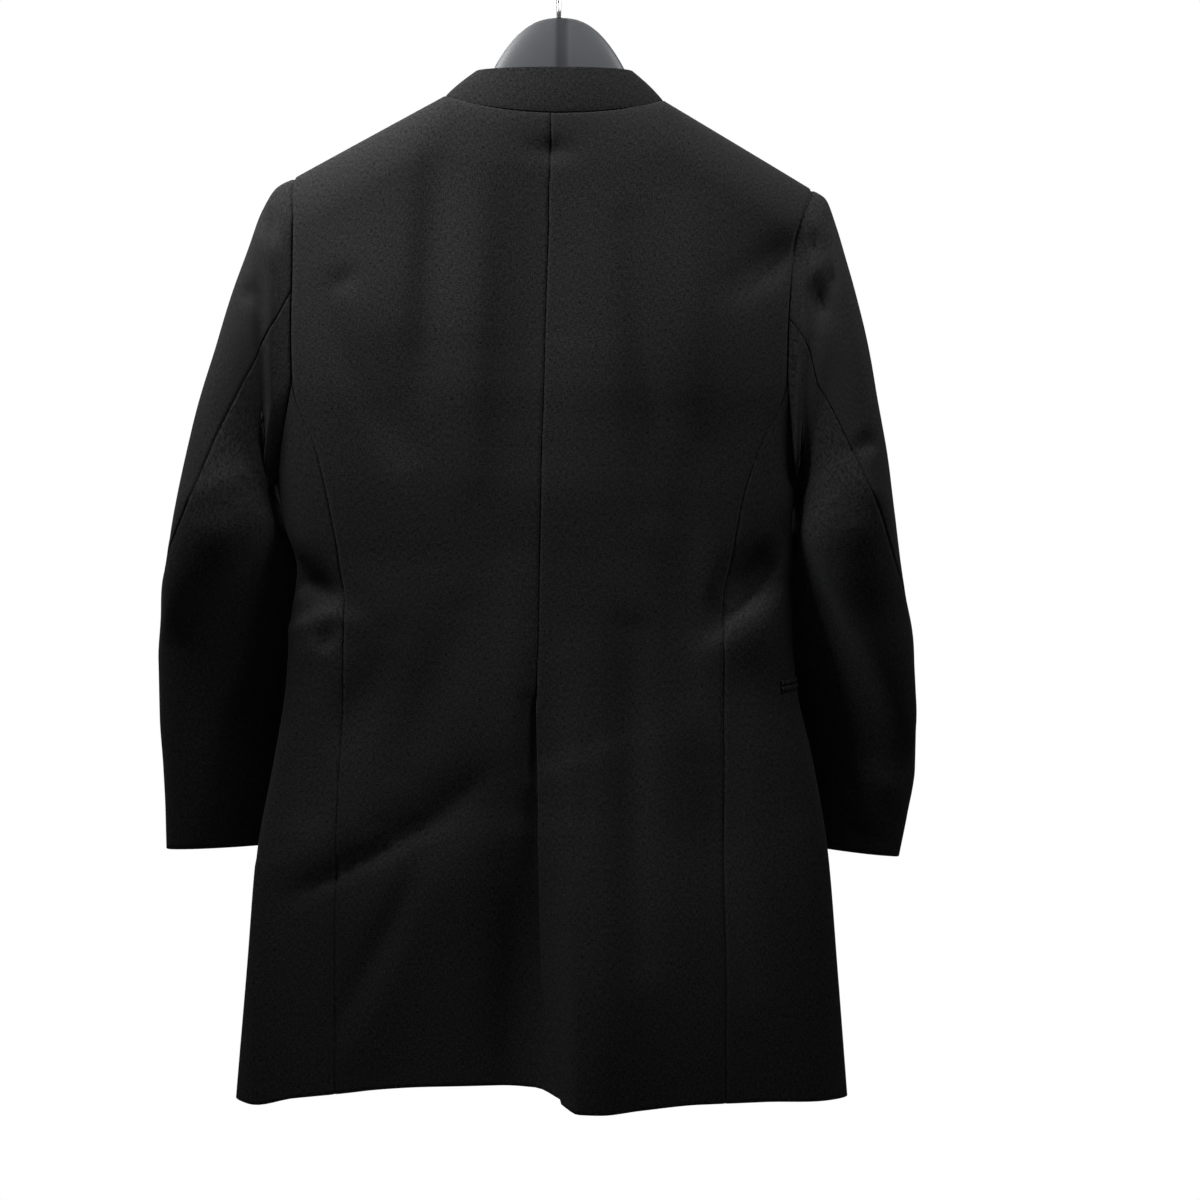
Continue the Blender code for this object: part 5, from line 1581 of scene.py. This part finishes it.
class JACKET_OT_pockets(bpy.types.Operator):
    """Make the two jets of both pockets and the tacks at their ends."""
    bl_idname = "jacket.pockets"
    bl_label = "Pockets"

    def execute(self, context):
        cloth = context.scene.jacket.cloth
        paths = []
        for (side, _), panel in STATE["jets"].items():
            sew(panel, cloth, JET_WALL, 90.0)
            normals, points = panel.normals(), panel.points
            for end, step in ((0, 1), (-1, -2)):
                way = (points[:, step] - points[:, end])[JET_LINES // 2]
                paths.append([(points[line, end] + normals[line, end] * 0.2, way,
                               normals[line, end]) for line in range(0, JET_LINES, 2)])
        thread = once("thread", thread_material, cloth)
        dress(lay_stitches("pocket_tacks", paths, 0.0005, 0.0022, 0.00045, thread), "wool")
        return {"FINISHED"}


class JACKET_OT_buttons(bpy.types.Operator):
    """Make the buttons, their sewing thread and the worked buttonholes."""
    bl_idname = "jacket.buttons"
    bl_label = "Buttons and buttonholes"

    def execute(self, context):
        settings = context.scene.jacket.buttons
        resin = button_material(settings)
        thread = once("thread", thread_material, context.scene.jacket.cloth)
        threads, holes, bars = [], [], []
        length = settings.hole_length / MM
        for number in range(BUTTON_COUNT):
            z = BUTTON_TOP - number * BUTTON_PITCH
            button = make_button(f"button_{number + 1}_turned", z, settings, resin)
            dress(button, "button", f"button_{number + 1}")
            threads += button_thread_paths(z, settings)
            holes += front_paths(z, (-HOLE_EDGE, HOLE_EDGE), np.linspace(-2.0, length, 14), 0.15)
            bars += front_paths(z, (0.0,), (length + 0.2, length + 1.6), 0.3)
        over_holes = settings.hole_spread * 2 + 0.001
        for name, paths, pitch, run in (("button_threads", threads, 0.0003, over_holes),
                                        ("buttonhole_stitches", holes, 0.00055, 0.0021),
                                        ("buttonhole_bars", bars, 0.0004, 0.0048)):
            dress(lay_stitches(name, paths, pitch, run, 0.0005, thread), "wool")
        return {"FINISHED"}


class JACKET_OT_hanger(bpy.types.Operator):
    """Make the moulded hanger and its wire hook."""
    bl_idname = "jacket.hanger"
    bl_label = "Hanger and hook"

    def execute(self, context):
        settings = context.scene.jacket.hanger
        rings = hanger_rings(settings.groove / MM)
        hanger = tube_mesh("hanger_moulding", rings, plastic_material(settings))
        dress(hanger, "hanger_plastic", "hanger")
        hook = tube_mesh("hook_wire", hook_rings(), steel_material(settings))
        dress(hook, "hook_steel", "hook")
        return {"FINISHED"}


class JACKET_OT_stage(bpy.types.Operator):
    """Make the pale floor, the soft lights and the camera behind the jacket."""
    bl_idname = "jacket.stage"
    bl_label = "Stage"

    def execute(self, context):
        scene = context.scene
        settings = scene.jacket.stage
        radius, height = settings.floor_radius, settings.floor_height
        rim = [(radius * math.cos(turn), radius * math.sin(turn), height)
               for turn in turns(FLOOR_SIDES)]
        mesh = bpy.data.meshes.new("floor")
        mesh.from_pydata(rim, [], [range(FLOOR_SIDES)])
        mesh.materials.append(floor_material(settings))
        add_piece("floor", mesh)
        for name, (place, target, size, power, share, spread) in LIGHTS.items():
            add_light(name, place, target, size, getattr(settings, power) * share, spread)
        scene.world = bpy.data.worlds.new("studio")
        scene.world.use_nodes = True
        tree = scene.world.node_tree
        # white to look at, and far dimmer as light
        seen = node(tree, "ShaderNodeLightPath").outputs["Is Camera Ray"]
        strength = node(tree, "ShaderNodeMapRange", Value=seen, To_Min=settings.world_light,
                        To_Max=1.0).outputs[0]
        feed(tree, tree.nodes["Background"], Color=linear(settings.world), Strength=strength)
        scene.view_settings.view_transform = "Standard"
        camera = bpy.data.objects.new("camera", bpy.data.cameras.new("camera"))
        scene.collection.objects.link(camera)
        aim(camera, CAMERA, CAMERA_AIM)
        camera.data.sensor_width = SENSOR
        camera.data.lens = LENS
        scene.camera = camera
        return {"FINISHED"}


class JACKET_PT_panel(bpy.types.Panel):
    """The pieces of the jacket and what a user would change."""
    bl_idname = "JACKET_PT_panel"
    bl_label = "Tailored jacket"
    bl_space_type = "VIEW_3D"
    bl_region_type = "UI"
    bl_category = "Jacket"

    def draw(self, context):
        layout = self.layout
        for group in ("cloth", "buttons", "hanger", "stage"):
            box = layout.box()
            box.label(text=group.title())
            settings = getattr(context.scene.jacket, group)
            for name in settings.bl_rna.properties.keys():
                if name not in ("rna_type", "name"):
                    box.prop(settings, name)
        for operator in OPERATORS:
            layout.operator(operator.bl_idname)


GROUPS = (JACKET_PG_cloth, JACKET_PG_buttons, JACKET_PG_hanger, JACKET_PG_stage, JACKET_PG_all)
OPERATORS = (JACKET_OT_stage, JACKET_OT_plan, JACKET_OT_body, JACKET_OT_sleeves,
             JACKET_OT_collar, JACKET_OT_pockets, JACKET_OT_buttons, JACKET_OT_hanger)


def register():
    """Make the properties, operators and panel known."""
    for item in (*GROUPS, *OPERATORS, JACKET_PT_panel):
        bpy.utils.register_class(item)
    bpy.types.Scene.jacket = PointerProperty(type=JACKET_PG_all)


def unregister():
    """Take them away again."""
    del bpy.types.Scene.jacket
    for item in reversed((*GROUPS, *OPERATORS, JACKET_PT_panel)):
        bpy.utils.unregister_class(item)


def main():
    """Dress the whole jacket."""
    register()
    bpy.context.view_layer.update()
    bpy.ops.jacket.stage()
    bpy.ops.jacket.plan()
    bpy.ops.jacket.body()
    bpy.ops.jacket.sleeves()
    bpy.ops.jacket.collar()
    bpy.ops.jacket.pockets()
    bpy.ops.jacket.buttons()
    bpy.ops.jacket.hanger()


if __name__ == "__main__":
    main()
